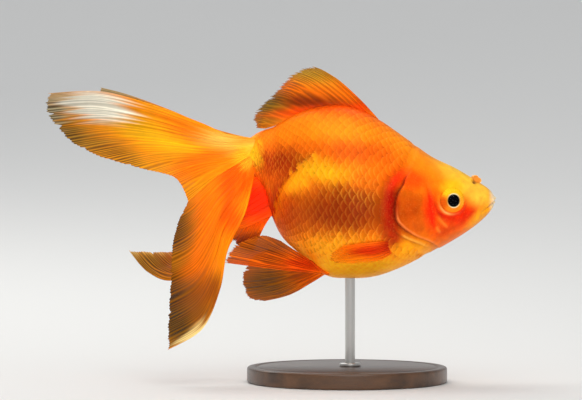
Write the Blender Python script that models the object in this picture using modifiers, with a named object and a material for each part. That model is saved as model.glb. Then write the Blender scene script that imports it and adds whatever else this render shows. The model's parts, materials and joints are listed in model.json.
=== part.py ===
"""A fantail goldfish, as a life-size still model swimming on a plain display stand.

The fish faces +X with its nose a little down, Z is up, and the origin is the centre of the underside of
the stand. The flesh is one lofted form, parted by thin cuts into head, lower jaw, gill covers, trunk and
tail base. Each fin is a thin web stretched between four edge curves. Tables below are in millimetres.
"""

import math

import bmesh
import bpy
from mathutils import Matrix, Vector

MM = 0.001
GAP = 0.3                  # clearance left between neighbouring pieces

# ---- the body -------------------------------------------------------------------------------------
# Each row is one cross-section, from the lips to the root of the tail:
# back x, back z, keel x, keel z, half width, narrowing towards the back, fullness of the belly
STATIONS = [
    (47.25, 58.9, 46.9, 57.1, 1.2, 0.00, 2.0),    # lips
    (45.7, 61.5, 45.3, 53.9, 4.0, 0.00, 2.2),
    (41.0, 64.7, 40.4, 49.5, 7.3, 0.00, 2.4),     # nostrils
    (34.4, 68.6, 33.4, 45.0, 10.7, 0.02, 2.4),    # eyes
    (27.0, 72.2, 26.0, 41.1, 13.3, 0.08, 2.4),    # cheeks
    (19.0, 77.9, 17.6, 36.8, 15.6, 0.18, 2.5),    # gill covers
    (9.8, 84.2, 9.0, 33.8, 17.0, 0.26, 2.6),      # shoulder
    (0.5, 88.3, 0.8, 33.2, 17.2, 0.30, 2.7),      # deepest point
    (-9.0, 88.1, -6.8, 34.2, 14.4, 0.30, 2.7),
    (-17.0, 85.5, -14.4, 40.4, 9.2, 0.24, 2.6),
    (-23.0, 81.9, -20.6, 46.2, 6.2, 0.12, 2.4),
    (-26.4, 80.7, -24.2, 53.4, 5.0, 0.00, 2.2),   # vent
    (-28.8, 79.6, -26.7, 61.8, 4.3, 0.00, 2.0),
    (-31.0, 78.2, -30.2, 65.7, 3.7, 0.00, 2.0),   # tail root
]
BACK_FULLNESS = 2.1
BELLY_CENTRE = (-2.0, 54.5)    # x and z of the round belly
BELLY_RADII = (22.6, 18.0)
BELLY_HALF_WIDTH = 16.4
BELLY_BLEND = 1.0              # softness of the fold where the belly meets the tail base
RINGS = 36
RING_POINTS = 32

# ---- cuts between the parts of the body (x, z) ------------------------------------------------------
GILL_SLIT = [(22.5, 92.0), (21.6, 76.0), (17.8, 65.2), (15.0, 61.2), (14.3, 57.0), (14.8, 52.4), (17.4, 49.2),
             (21.6, 46.8), (25.4, 45.0), (27.2, 41.5), (28.0, 30.0)]
GILL_FRONT = [(18.8, 65.0), (23.6, 64.2), (24.8, 61.0), (25.4, 55.0), (27.3, 48.6), (26.4, 46.2)]
GILL_FLOOR = 9.5               # how far from the middle the gill covers reach in
MOUTH_LINE = [(52.0, 61.0), (46.9, 57.55), (42.4, 54.0), (39.4, 47.5), (38.2, 40.0), (52.0, 40.0)]
TAIL_BASE_CUT = [(-20.6, 92.0), (-22.3, 66.0), (-24.6, 55.0), (-25.0, 30.0)]

# ---- eyes -------------------------------------------------------------------------------------------
EYE_CENTRE = (32.7, 9.9, 58.1)
EYE_RADII = (4.5, 2.5, 4.5)
EYE_TURN = math.radians(18)    # turned forward with the narrowing head

# ---- fins -------------------------------------------------------------------------------------------
FIN_THICKNESS = 0.6
FIN_CLEARANCE = 0.9            # from the flank to the middle of a fin that lies along it
DORSAL_CLEARANCE = 0.45        # from the back to the root of the dorsal fin
DORSAL_WAVE = 1.2              # how far the free edge of the dorsal fin sways from the middle
DORSAL_TURNS = 5.0             # how fast that sway changes from ray to ray, in radians
TAIL_START = 2.0               # from the middle to the root of a tail lobe
TAIL_CUP = 3.0                 # how deeply a tail lobe is cupped
TAIL_CURL = 1.25               # above 1, a lobe spreads faster towards its tip
PELVIC_ROOTS = (4.4, 5.0)      # from the middle to the front and rear of a pelvic fin's root
PELVIC_CUP = 1.5
PELVIC_BLEND = 1.2             # softness where a pelvic fin meets the flank it lies along
PECTORAL_LIFT = 1.6            # how far the tip of a pectoral fin stands off the flank
ANAL_ROOTS = (1.5, 0.7)        # from the middle to the front and rear of an anal fin's root
ANAL_REACH = 2.0
SHARP_ANGLE = math.radians(35)
CUTTER_REACH = 40.0            # half width of a cutter, wider than the body

# ---- the stand --------------------------------------------------------------------------------------
BASE_RADIUS = 32.0
BASE_HEIGHT = 5.0
BASE_BEVEL = 0.8
ROD_RADIUS = 1.6
ROD_X = 1.0

# colour, roughness, metallic
ORANGE = ((0.86, 0.22, 0.02), 0.35, 0.0)
CHEEK = ((0.80, 0.14, 0.01), 0.35, 0.0)
GOLD = ((0.85, 0.36, 0.03), 0.30, 0.0)
FIN_RED = ((0.78, 0.12, 0.01), 0.45, 0.0)
FIN_PALE = ((0.82, 0.34, 0.06), 0.45, 0.0)
EYE_DARK = ((0.02, 0.015, 0.015), 0.08, 0.0)
LACQUER = ((0.03, 0.03, 0.032), 0.35, 0.0)
STEEL = ((0.60, 0.60, 0.60), 0.30, 1.0)


def mix(a, b, t):
    """The value or tuple that lies t of the way from a to b."""
    if isinstance(a, tuple):
        return tuple(mix(p, q, t) for p, q in zip(a, b))
    return a + (b - a) * t


def spline(points, t):
    """The point at t, from 0 to 1, on a smooth curve through all the points."""
    if len(points) == 2:
        return mix(points[0], points[1], t)
    span = t * (len(points) - 1)
    i = min(int(span), len(points) - 2)
    f = span - i
    before, here, after = points[max(i - 1, 0)], points[i], points[i + 1]
    beyond = points[min(i + 2, len(points) - 1)]
    return tuple(
        b + 0.5 * f * (c - a + f * (2 * a - 5 * b + 4 * c - d + f * (3 * (b - c) + d - a)))
        for a, b, c, d in zip(before, here, after, beyond))


def smooth_max(a, b, softness):
    return 0.5 * (a + b + math.sqrt((a - b) ** 2 + softness ** 2))


def belly_width(x, z):
    """Half width of the round belly at a place on the flank."""
    along = (x - BELLY_CENTRE[0]) / BELLY_RADII[0]
    above = max(z - BELLY_CENTRE[1], 0.0) / BELLY_RADII[1]
    return BELLY_HALF_WIDTH * math.sqrt(max(1 - along ** 2 - above ** 2, 0.0))


def body_point(u, level):
    """Place (x, half width, z) on the flank: u runs from lips to tail, level from -1 at the keel to 1."""
    back_x, back_z, keel_x, keel_z, width, taper, fullness = spline(STATIONS, u)
    x = mix(keel_x, back_x, (level + 1) / 2)
    z = mix(keel_z, back_z, (level + 1) / 2)
    power = BACK_FULLNESS if level > 0 else fullness
    close = math.sqrt(max(1 - abs(level) ** power, 0.0))
    half = width * close * (1 - taper * level)
    belly = belly_width(x, z) * (close if level < 0 else 1)
    return x, smooth_max(half, belly, BELLY_BLEND * close), z


def back_line(x):
    """Height of the back at x."""
    samples = [spline(STATIONS, i / 200)[:2] for i in range(201)]
    for (x1, z1), (x2, z2) in zip(samples, samples[1:]):
        if x2 <= x <= x1:
            return mix(z1, z2, (x1 - x) / (x1 - x2))
    return samples[-1][1]


def flank_width(x, z):
    """Half width of the body at a place inside its outline, or 0 outside it."""
    low, high = 0.0, 1.0
    for _ in range(30):
        u = (low + high) / 2
        row = spline(STATIONS, u)
        level = (z - row[3]) / (row[1] - row[3])
        if mix(row[2], row[0], level) > x:
            low = u
        else:
            high = u
    level = 2 * level - 1
    return body_point(u, level)[1] if abs(level) < 1 else 0.0


# ---- building ---------------------------------------------------------------------------------------

def clear_scene():
    for item in list(bpy.data.objects):
        bpy.data.objects.remove(item)


def collection(name):
    made = bpy.data.collections.new(name)
    bpy.context.scene.collection.children.link(made)
    return made


def material(name, look):
    colour, roughness, metallic = look
    made = bpy.data.materials.new(name)
    made.use_nodes = True
    shader = made.node_tree.nodes["Principled BSDF"]
    shader.inputs["Base Color"].default_value = (*colour, 1)
    shader.inputs["Roughness"].default_value = roughness
    shader.inputs["Metallic"].default_value = metallic
    return made


def add_object(name, mesh, home, look=None):
    made = bpy.data.objects.new(name, mesh)
    home.objects.link(made)
    if look:
        mesh.materials.append(material(name + "_finish", look))
        mesh.shade_smooth()
        mesh.set_sharp_from_angle(angle=SHARP_ANGLE)
    else:
        made.hide_render = True
        made.display_type = "WIRE"
    return made


def to_mesh(bm, name):
    bmesh.ops.recalc_face_normals(bm, faces=bm.faces)
    mesh = bpy.data.meshes.new(name)
    bm.to_mesh(mesh)
    bm.free()
    return mesh


def body_mesh():
    """The whole flesh as one closed loft of unlike sections."""
    bm = bmesh.new()
    rings = []
    for i in range(RINGS + 1):
        ring = []
        for j in range(RING_POINTS):
            angle = 2 * math.pi * j / RING_POINTS
            x, half, z = body_point(i / RINGS, math.cos(angle))
            side = math.copysign(1.0, math.sin(angle)) if j % (RING_POINTS // 2) else 0
            ring.append(bm.verts.new((x * MM, side * half * MM, z * MM)))
        rings.append(ring)
    for ring, following in zip(rings, rings[1:]):
        for j in range(RING_POINTS):
            k = (j + 1) % RING_POINTS
            bm.faces.new((ring[j], ring[k], following[k], following[j]))
    bm.faces.new(rings[0])
    bm.faces.new(rings[-1])
    return to_mesh(bm, "body")


def widened(outline, by):
    """A closed outline of (x, z) points pushed out by the same distance all round."""
    area = sum(p[0] * q[1] - q[0] * p[1] for p, q in zip(outline, outline[1:] + outline[:1]))
    turn = math.copysign(1, area)
    pushed = []
    for i, here in enumerate(outline):
        here = Vector(here)
        before = (here - Vector(outline[i - 1])).normalized()
        after = (Vector(outline[(i + 1) % len(outline)]) - here).normalized()
        along = before + after
        out = Vector((along.y, -along.x)).normalized() * turn
        stretch = max(out.dot(Vector((before.y, -before.x))) * turn, 0.5)
        pushed.append(tuple(here + out * by / stretch))
    return pushed


def slab(name, outline, near, far, home):
    """A cutter: an outline of (x, z) points made solid from y = near to y = far."""
    bm = bmesh.new()
    face = bm.faces.new([bm.verts.new((x * MM, near * MM, z * MM)) for x, z in outline])
    grown = bmesh.ops.extrude_face_region(bm, geom=[face])["geom"]
    moved = [item for item in grown if isinstance(item, bmesh.types.BMVert)]
    bmesh.ops.translate(bm, verts=moved, vec=(0, (far - near) * MM, 0))
    return add_object(name, to_mesh(bm, name), home)


def carve(target, cutter, operation):
    cut = target.modifiers.new(operation.lower() + "_" + cutter.name, "BOOLEAN")
    cut.operation = operation
    cut.object = cutter
    cut.solver = "EXACT"


def ellipsoid(name, side, grow, home, look=None):
    """An eyeball on one side of the head, or the socket that clears it."""
    bm = bmesh.new()
    bmesh.ops.create_uvsphere(bm, u_segments=16, v_segments=10, radius=1)
    for vert in bm.verts:
        vert.co = Vector([c * (r + grow) for c, r in zip(vert.co, EYE_RADII)])
    bmesh.ops.rotate(bm, verts=bm.verts, matrix=Matrix.Rotation(-side * EYE_TURN, 3, "Z"))
    x, y, z = EYE_CENTRE
    bmesh.ops.translate(bm, verts=bm.verts, vec=(x, side * y, z))
    bmesh.ops.scale(bm, verts=bm.verts, vec=(MM, MM, MM))
    return add_object(name, to_mesh(bm, name), home, look)


def stretched(root, margin, first, last, across, along):
    """A point of a web that four edge curves carry: across the rays and along them, both 0 to 1."""
    sides = mix(spline(root, across), spline(margin, across), along)
    ends = mix(spline(first, along), spline(last, along), across)
    corners = mix(mix(root[0], root[-1], across), mix(margin[0], margin[-1], across), along)
    return tuple(s + e - c for s, e, c in zip(sides, ends, corners))


def fin(name, edges, depth, cells, home, look):
    """A web of rays by rings, given its thickness. depth tells y from (across, along, x, z)."""
    across_cells, along_cells = cells
    bm = bmesh.new()
    bmesh.ops.create_grid(bm, x_segments=across_cells, y_segments=along_cells, size=0.5)
    for vert in bm.verts:
        across, along = vert.co.x + 0.5, vert.co.y + 0.5
        x, z = stretched(*edges, across, along)
        vert.co = Vector((x, depth(across, along, x, z), z)) * MM
    made = add_object(name, to_mesh(bm, name), home, look)
    shell = made.modifiers.new("thickness", "SOLIDIFY")
    shell.thickness = FIN_THICKNESS * MM
    shell.offset = 0
    return made


def edges_from(root, first, margin, last):
    """Edge curves that share their corners: root and margin run across, first and last run outward."""
    return (root, [first[-1], *margin, last[-1]], first, last)


# ---- the parts --------------------------------------------------------------------------------------

def flesh(parts, cutters):
    form = body_mesh()
    reach = CUTTER_REACH
    front = GILL_SLIT + [(60.0, 30.0), (60.0, 92.0)]
    rear = TAIL_BASE_CUT + [(-45.0, 30.0), (-45.0, 92.0)]
    front_slab = slab("front_of_gill_slit", front, -reach, reach, cutters)
    front_clear = slab("front_clearance", widened(front, GAP), -reach, reach, cutters)
    rear_slab = slab("behind_tail_cut", rear, -reach, reach, cutters)
    rear_clear = slab("rear_clearance", widened(rear, GAP), -reach, reach, cutters)
    jaw_slab = slab("below_mouth_line", MOUTH_LINE, -reach, reach, cutters)
    jaw_clear = slab("jaw_clearance", widened(MOUTH_LINE, GAP), -reach, reach, cutters)
    cover = GILL_SLIT[2:9] + GILL_FRONT[::-1]

    head = add_object("head", form.copy(), parts, ORANGE)
    carve(head, front_slab, "INTERSECT")
    carve(head, jaw_clear, "DIFFERENCE")
    jaw = add_object("lower_jaw", form.copy(), parts, CHEEK)
    carve(jaw, jaw_slab, "INTERSECT")
    for name, side in (("left", 1), ("right", -1)):
        lid = slab("gill_region_" + name, cover, side * GILL_FLOOR, side * reach, cutters)
        pocket = slab("gill_pocket_" + name, widened(cover, GAP), side * (GILL_FLOOR - GAP),
                      side * reach, cutters)
        gill = add_object("gill_cover_" + name, form.copy(), parts, CHEEK)
        carve(gill, lid, "INTERSECT")
        carve(head, pocket, "DIFFERENCE")
        ellipsoid("eye_" + name, side, 0.0, parts, EYE_DARK)
        carve(head, ellipsoid("socket_" + name, side, GAP, cutters), "DIFFERENCE")

    trunk = add_object("trunk", form.copy(), parts, GOLD)
    carve(trunk, front_clear, "DIFFERENCE")
    carve(trunk, rear_clear, "DIFFERENCE")
    tail_base = add_object("tail_base", form.copy(), parts, ORANGE)
    carve(tail_base, rear_slab, "INTERSECT")


def dorsal_fin(parts):
    base = [9.6, 5.5, 1.0, -4.0, -8.6, -12.5, -16.0, -19.5, -23.0, -26.2]
    root = [(x, back_line(x) + DORSAL_CLEARANCE) for x in base]
    first = [root[0], (4.2, 90.4), (-2.2, 96.2), (-7.5, 99.6), (-11.0, 100.9)]
    margin = [(-15.6, 100.0), (-19.5, 97.2), (-22.7, 93.2), (-27.6, 88.8), (-30.3, 84.8)]
    last = [root[-1], (-29.0, 81.3)]
    fin("dorsal_fin", edges_from(root, first, margin, last),
        lambda across, along, x, z: DORSAL_WAVE * along * math.sin(DORSAL_TURNS * across),
        (16, 7), parts, FIN_RED)


def tail_fins(parts):
    """Twin tails side by side, each with an upper and a lower lobe, spreading from the tail base."""
    upper_root = [(-31.5, 78.1), (-31.8, 75.0), (-32.0, 71.9)]
    lower_root = [(-31.8, 71.5), (-31.0, 68.3), (-29.9, 65.0)]

    def spread(side, top, bottom):
        def depth(across, along, x, z):
            reach = mix(top, bottom, across) * along ** TAIL_CURL
            cup = TAIL_CUP * math.sin(math.pi * across) * along * (1 - along)
            return side * (TAIL_START + reach + cup)
        return depth

    right_top = [upper_root[0], (-38.5, 79.3), (-46.9, 82.9), (-62.6, 88.7), (-78.3, 92.5), (-94.4, 91.8)]
    right_tip = [(-95.2, 86.1), (-89.4, 78.3), (-80.6, 72.8), (-65.8, 68.2), (-54.5, 65.1)]
    right_fork = [upper_root[-1], (-42.0, 65.4), (-50.4, 57.9)]
    fin("tail_right_upper", edges_from(upper_root, right_top, right_tip, right_fork),
        spread(-1, 9.0, 8.0), (10, 12), parts, FIN_PALE)

    right_fork_below = [lower_root[0], (-42.0, 64.9), (-50.4, 57.4)]
    right_trail = [(-53.8, 50.4), (-55.6, 41.8), (-55.8, 31.5), (-56.5, 20.3)]
    right_front = [lower_root[-1], (-32.5, 54.1), (-38.0, 42.1), (-40.3, 30.0), (-45.7, 17.8), (-56.4, 11.4)]
    fin("tail_right_lower", edges_from(lower_root, right_fork_below, right_trail, right_front),
        spread(-1, 8.0, 15.0), (9, 12), parts, FIN_RED)

    left_top = [upper_root[0], (-43.2, 81.4), (-56.7, 87.3), (-70.9, 92.7), (-81.4, 95.7)]
    left_tip = [(-81.9, 89.2), (-76.6, 80.3), (-67.6, 74.0), (-57.1, 68.9), (-50.3, 65.7)]
    left_fork = [upper_root[-1], (-40.0, 66.9), (-47.7, 61.1)]
    fin("tail_left_upper", edges_from(upper_root, left_top, left_tip, left_fork),
        spread(1, 27.0, 15.0), (10, 12), parts, FIN_PALE)

    left_fork_below = [lower_root[0], (-40.0, 66.4), (-47.7, 60.6)]
    left_trail = [(-48.4, 51.8), (-51.0, 42.5), (-60.5, 41.0)]
    left_front = [lower_root[-1], (-33.1, 52.5), (-41.3, 39.5), (-55.8, 32.0), (-65.0, 34.3), (-71.9, 41.4)]
    fin("tail_left_lower", edges_from(lower_root, left_fork_below, left_trail, left_front),
        spread(1, 15.0, 27.0), (9, 12), parts, FIN_RED)


def anal_fins(parts):
    """A pair of fins, side by side, from the vent up towards the tail base."""
    root = [(-24.9, 52.9), (-26.4, 57.6), (-28.2, 62.4)]

    def spread(side):
        return lambda across, along, x, z: side * (mix(*ANAL_ROOTS, across) + ANAL_REACH * along)

    right_lead = [root[0], (-30.5, 50.1), (-36.8, 47.8)]
    right_rear = [root[-1], (-37.0, 57.0)]
    fin("anal_fin_right", edges_from(root, right_lead, [(-38.8, 51.0)], right_rear),
        spread(-1), (7, 5), parts, FIN_RED)
    left_lead = [root[0], (-26.8, 49.0), (-30.2, 41.6)]
    left_rear = [root[-1], (-37.5, 54.0)]
    fin("anal_fin_left", edges_from(root, left_lead, [(-34.5, 43.0), (-37.8, 48.0)], left_rear),
        spread(1), (7, 6), parts, FIN_RED)


def pelvic_fins(parts):
    """The paired belly fins, fanned out behind the deepest part of the belly."""
    root = [(-6.4, 34.6), (-9.0, 36.5), (-11.6, 38.9)]

    def spread(side, reach):
        def depth(across, along, x, z):
            cup = PELVIC_CUP * math.sin(math.pi * across) * along
            free = mix(*PELVIC_ROOTS, across) + reach * along + cup
            return side * smooth_max(free, flank_width(x, z) + FIN_CLEARANCE, PELVIC_BLEND)
        return depth

    right_lead = [root[0], (-15.0, 35.4), (-24.9, 36.6), (-38.9, 38.5)]
    right_rear = [root[-1], (-16.3, 42.0), (-21.3, 45.4)]
    right_margin = [(-37.3, 42.7), (-32.9, 45.7), (-27.1, 47.2)]
    fin("pelvic_fin_right", edges_from(root, right_lead, right_margin, right_rear),
        spread(-1, 6.0), (6, 7), parts, FIN_RED)
    left_lead = [root[0], (-11.9, 31.1), (-18.5, 27.4), (-26.7, 25.3)]
    left_rear = [root[-1], (-25.1, 42.2)]
    left_margin = [(-31.6, 26.1), (-33.7, 30.0), (-33.7, 34.5), (-30.7, 39.7)]
    fin("pelvic_fin_left", edges_from(root, left_lead, left_margin, left_rear),
        spread(1, 8.0), (10, 7), parts, FIN_PALE)


def pectoral_fins(parts):
    """The paired fins behind the gill covers, folded back along the lower flank."""
    root = [(14.5, 45.7), (14.2, 44.0), (14.5, 42.2)]
    upper = [root[0], (6.9, 45.0), (-1.0, 43.8), (-5.3, 41.4)]
    lower = [root[-1], (10.4, 39.5), (3.6, 38.3), (-4.3, 38.6)]

    def lying(side):
        return lambda across, along, x, z: side * (
            flank_width(x, z) + FIN_CLEARANCE + PECTORAL_LIFT * along)

    for name, side in (("left", 1), ("right", -1)):
        fin("pectoral_fin_" + name, edges_from(root, upper, [(-6.1, 39.8)], lower), lying(side),
            (6, 10), parts, FIN_RED)


def stand(parts):
    bm = bmesh.new()
    bmesh.ops.create_cone(bm, cap_ends=True, segments=40, radius1=BASE_RADIUS * MM,
                          radius2=BASE_RADIUS * MM, depth=BASE_HEIGHT * MM)
    bmesh.ops.translate(bm, verts=bm.verts, vec=(0, 0, BASE_HEIGHT / 2 * MM))
    rims = [edge for edge in bm.edges if abs(edge.verts[0].co.z - edge.verts[1].co.z) < 1e-6]
    bmesh.ops.bevel(bm, geom=rims, offset=BASE_BEVEL * MM, segments=2, profile=0.5, affect="EDGES")
    add_object("stand_base", to_mesh(bm, "stand_base"), parts, LACQUER)

    low = BASE_HEIGHT + GAP
    high = min(keel_z for _, _, _, keel_z, *_ in STATIONS) - GAP
    bm = bmesh.new()
    bmesh.ops.create_cone(bm, cap_ends=True, segments=20, radius1=ROD_RADIUS * MM,
                          radius2=ROD_RADIUS * MM, depth=(high - low) * MM)
    bmesh.ops.translate(bm, verts=bm.verts, vec=(ROD_X * MM, 0, (high + low) / 2 * MM))
    add_object("stand_rod", to_mesh(bm, "stand_rod"), parts, STEEL)


def main():
    clear_scene()
    parts = collection("goldfish")
    cutters = collection("cutters")
    flesh(parts, cutters)
    dorsal_fin(parts)
    tail_fins(parts)
    anal_fins(parts)
    pelvic_fins(parts)
    pectoral_fins(parts)
    stand(parts)


main()
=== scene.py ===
# %% [markdown]
# # A goldfish as a still model
# A fantail goldfish, swimming nose a little down, on a plain stand. The solids of the frame give its size.
# Here it gets its looks: one skin over the flesh, a coat of scales, fins with rays, and wet eyes.
# The frame is loaded first.

# %% Load the fixed frame
import json
import math

import bpy
import numpy as np
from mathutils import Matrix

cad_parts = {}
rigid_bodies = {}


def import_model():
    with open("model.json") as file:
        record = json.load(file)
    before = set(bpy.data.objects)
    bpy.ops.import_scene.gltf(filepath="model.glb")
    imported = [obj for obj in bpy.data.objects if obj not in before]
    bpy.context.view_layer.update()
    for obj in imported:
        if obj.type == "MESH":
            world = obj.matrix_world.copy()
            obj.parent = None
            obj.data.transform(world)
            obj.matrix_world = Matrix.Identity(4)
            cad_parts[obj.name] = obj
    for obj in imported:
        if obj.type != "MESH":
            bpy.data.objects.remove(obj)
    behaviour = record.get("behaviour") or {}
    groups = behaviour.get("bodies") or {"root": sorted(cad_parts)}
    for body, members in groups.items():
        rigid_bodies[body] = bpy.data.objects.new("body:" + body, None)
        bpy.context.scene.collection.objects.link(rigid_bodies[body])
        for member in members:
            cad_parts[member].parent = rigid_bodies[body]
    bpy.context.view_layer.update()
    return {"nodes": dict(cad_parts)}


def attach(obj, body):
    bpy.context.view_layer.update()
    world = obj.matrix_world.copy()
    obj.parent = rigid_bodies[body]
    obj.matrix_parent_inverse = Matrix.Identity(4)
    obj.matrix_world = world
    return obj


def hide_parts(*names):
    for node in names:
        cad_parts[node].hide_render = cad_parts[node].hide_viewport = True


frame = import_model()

MM = 0.001                  # the tables are in millimetres, the frame in metres
RIGHT, LEFT = -1, 1         # the fish faces +X, so its right flank looks towards -Y
SIDES = (("right", RIGHT), ("left", LEFT))
print("frame:", len(frame["nodes"]), "solids")

# %% [markdown]
# ## Small tools
# Every piece needs a value between two others, a smooth curve through points, and the distance from a line
# drawn on the flank. All of them take whole arrays, to shape a hundred thousand points at once.

# %% Curves
def mix(a, b, t):
    """What lies t of the way from a to b."""
    a = np.asarray(a)
    return a + (b - a) * t


def ease(low, high, value):
    """0 below low, 1 above high, and a soft step between them."""
    t = np.clip((value - low) / (high - low), 0, 1)
    return t * t * (3 - 2 * t)


def fade(place, start, full, ebb, end):
    """0 at the ends of a line and 1 between them."""
    return ease(start, full, place) * (1 - ease(ebb, end, place))


def bell(distance, width):
    """1 on a line, falling softly to nothing beyond its width."""
    return np.exp(-(distance / width) ** 2)


def trail(distance, length):
    """1 up to a line, dying away beyond it."""
    return np.exp(-np.maximum(distance, 0) / length)


def spline(points, t):
    """The points at t, from 0 to 1, on a smooth curve through all the given points."""
    rows = np.asarray(points, float)
    t = np.clip(np.asarray(t, float), 0, 1)
    if len(rows) == 2:
        return mix(rows[0], rows[1], t[..., None])
    last = len(rows) - 1
    i = np.minimum((t * last).astype(int), last - 1)
    f = (t * last - i)[..., None]
    a, b, c, d = (rows[np.clip(i + k, 0, last)] for k in (-1, 0, 1, 2))
    return b + 0.5 * f * (c - a + f * (2 * a - 5 * b + 4 * c - d + f * (3 * (b - c) + d - a)))


def beside(curve, x, z, steps=60):
    """Distance from a curve drawn on the flank, positive on its left, and the place along it, 0 to 1."""
    line = spline(curve, np.linspace(0, 1, steps))
    near, side, place = np.full(x.shape, 1e9), np.ones(x.shape), np.zeros(x.shape)
    for i, ((ax, az), (bx, bz)) in enumerate(zip(line, line[1:])):
        ex, ez = bx - ax, bz - az
        t = np.clip(((x - ax) * ex + (z - az) * ez) / (ex * ex + ez * ez), 0, 1)
        dx, dz = x - ax - t * ex, z - az - t * ez
        gap = np.hypot(dx, dz)
        closer = gap < near
        near = np.where(closer, gap, near)
        side = np.where(closer, np.sign(ex * dz - ez * dx), side)
        place = np.where(closer, (i + t) / (steps - 1), place)
    return near * side, place


print("half way from 2 to 4:", mix(2, 4, 0.5))

# %% [markdown]
# Pieces start as a primitive. Everything is deselected before each one, because the frame is still selected
# after it loads. A mesh's points are then read, shaped and put back as one array.

# %% Points of a mesh
def deselect():
    """Nothing stays picked."""
    bpy.ops.object.select_all(action="DESELECT")


def newest(name):
    """The object that was just added, under its own name."""
    made = bpy.context.object
    made.name = made.data.name = name
    return made


def points_of(piece):
    """A piece's points as rows of x, y, z."""
    co = np.empty(len(piece.data.vertices) * 3)
    piece.data.vertices.foreach_get("co", co)
    return co.reshape(-1, 3)


def add_ball(name, segments, rings):
    """A ball of radius 1 with its poles on Z, and its points."""
    deselect()
    bpy.ops.mesh.primitive_uv_sphere_add(segments=segments, ring_count=rings, radius=1)
    made = newest(name)
    return made, points_of(made)


def shape(piece, points_mm, turned=False):
    """Puts a piece's points at places in millimetres. Its faces are turned round where that mirrors it."""
    piece.data.vertices.foreach_set("co", (np.asarray(points_mm) * MM).ravel())
    if turned:
        piece.data.flip_normals()
    piece.data.shade_smooth()
    piece.data.update()


def note(piece, name, values):
    """Keeps a number, or a colour, at each point of a piece, for its finish to read."""
    values = np.asarray(values, np.float32)
    if values.ndim == 2:
        kept = piece.data.attributes.new(name, "FLOAT_COLOR", "POINT")
        kept.data.foreach_set("color", np.column_stack([values, np.ones(len(values), np.float32)]).ravel())
    else:
        kept = piece.data.attributes.new(name, "FLOAT", "POINT")
        kept.data.foreach_set("value", values)


def finished(piece, look, slot, *nodes):
    """A piece wears its finish, rides with the model and stands for its solids."""
    piece.data.materials.clear()
    piece.data.materials.append(look.material)
    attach(piece, "root")
    if nodes:
        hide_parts(*nodes)
    size = np.ptp(points_of(piece), axis=0) / MM
    print(piece.name, "faces", len(piece.data.polygons), "size", np.round(size, 1), "mm")


print("tools ready")

# %% [markdown]
# ## The body's form
# The flesh is one form, told by its cross-sections from the lips to the tail root, as in the solids. A round
# belly is laid into it. The skin, the scales and the fins that lie along the flank all ask this form where
# the flank is.

# %% Cross-sections
# back x, back z, keel x, keel z, half width, narrowing towards the back, fullness of the belly
STATIONS = np.array([
    (47.25, 58.9, 46.9, 57.1, 1.2, 0, 2),  # lips
    (45.7, 61.5, 45.3, 53.9, 4, 0, 2.2),
    (41, 64.7, 40.4, 49.5, 7.3, 0, 2.4),  # nostrils
    (34.4, 68.6, 33.4, 45, 10.7, 0.02, 2.4),  # eyes
    (27, 72.2, 26, 41.1, 13.3, 0.08, 2.4),  # cheeks
    (19, 77.9, 17.6, 36.8, 15.6, 0.18, 2.5),  # gill covers
    (9.8, 84.2, 9, 33.8, 17, 0.26, 2.6),  # shoulder
    (0.5, 88.3, 0.8, 33.2, 17.2, 0.3, 2.7),  # deepest point
    (-9, 88.1, -6.8, 34.2, 14.4, 0.3, 2.7),
    (-17, 85.5, -14.4, 40.4, 9.2, 0.24, 2.6),
    (-23, 81.9, -20.6, 46.2, 6.2, 0.12, 2.4),
    (-26.4, 80.7, -24.2, 53.4, 5, 0, 2.2),  # vent
    (-28.8, 79.6, -26.7, 61.8, 4.3, 0, 2),
    (-31, 78.2, -30.2, 65.7, 3.7, 0, 2),  # tail root
    (-33.6, 77.4, -33.2, 67.4, 2.7, 0, 2),  # flesh between the tails
    (-36.2, 76.2, -36, 69.4, 1.5, 0, 2),
    (-38.4, 74.9, -38.3, 71.2, 0.7, 0, 2),
])
BACK_FULLNESS = 2.1
BELLY_X, BELLY_Z = -2, 54.5
BELLY_LONG, BELLY_TALL, BELLY_HALF_WIDTH = 22.6, 18, 16.4
BELLY_BLEND = 0.8
BELLY_EDGE = [(-7, 74), (-12, 71.8), (-16, 68.4), (-19.6, 64), (-22, 59.6), (-23.3, 54.6), (-23.4, 49.5)]
EDGE_SUNK, EDGE_SWELL = 1.15, 0.55      # behind and on the rear edge of the belly


def belly_edge(x, z):
    """Distance from the rear edge of the belly, positive on the belly, and how marked the edge is."""
    gap, place = beside(BELLY_EDGE, x, z)
    return gap, ease(0, 0.35, place) * (1 - 0.6 * ease(0.85, 1, place)) * (np.abs(gap) < 20)


def round_join(a, b, blend):
    """The larger of two widths, with a rounded corner where they are alike."""
    return 0.5 * (a + b + np.sqrt((a - b) ** 2 + blend ** 2))


def body_point(u, level):
    """x, half width and z on the flank: u from lips 0 to tail root 1, level from keel -1 to back 1."""
    back_x, back_z, keel_x, keel_z, width, taper, fullness = np.moveaxis(spline(STATIONS, u), -1, 0)
    x = mix(keel_x, back_x, (level + 1) / 2)
    z = mix(keel_z, back_z, (level + 1) / 2)
    power = np.where(level > 0, BACK_FULLNESS, fullness)
    close = np.sqrt(np.maximum(1 - np.abs(level) ** power, 0))
    half = width * close * (1 - taper * level)
    bulge = 1 - ((x - BELLY_X) / BELLY_LONG) ** 2 - (np.maximum(z - BELLY_Z, 0) / BELLY_TALL) ** 2
    belly = BELLY_HALF_WIDTH * np.sqrt(np.maximum(bulge, 0)) * np.where(level < 0, close, 1)
    gap, strength = belly_edge(x, z)
    edge = mix(-EDGE_SUNK * trail(-gap, 3), EDGE_SWELL * trail(gap, 4), ease(-0.5, 0.5, gap))
    return x, round_join(half, belly, BELLY_BLEND * close) + strength * close * edge, z


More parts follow.
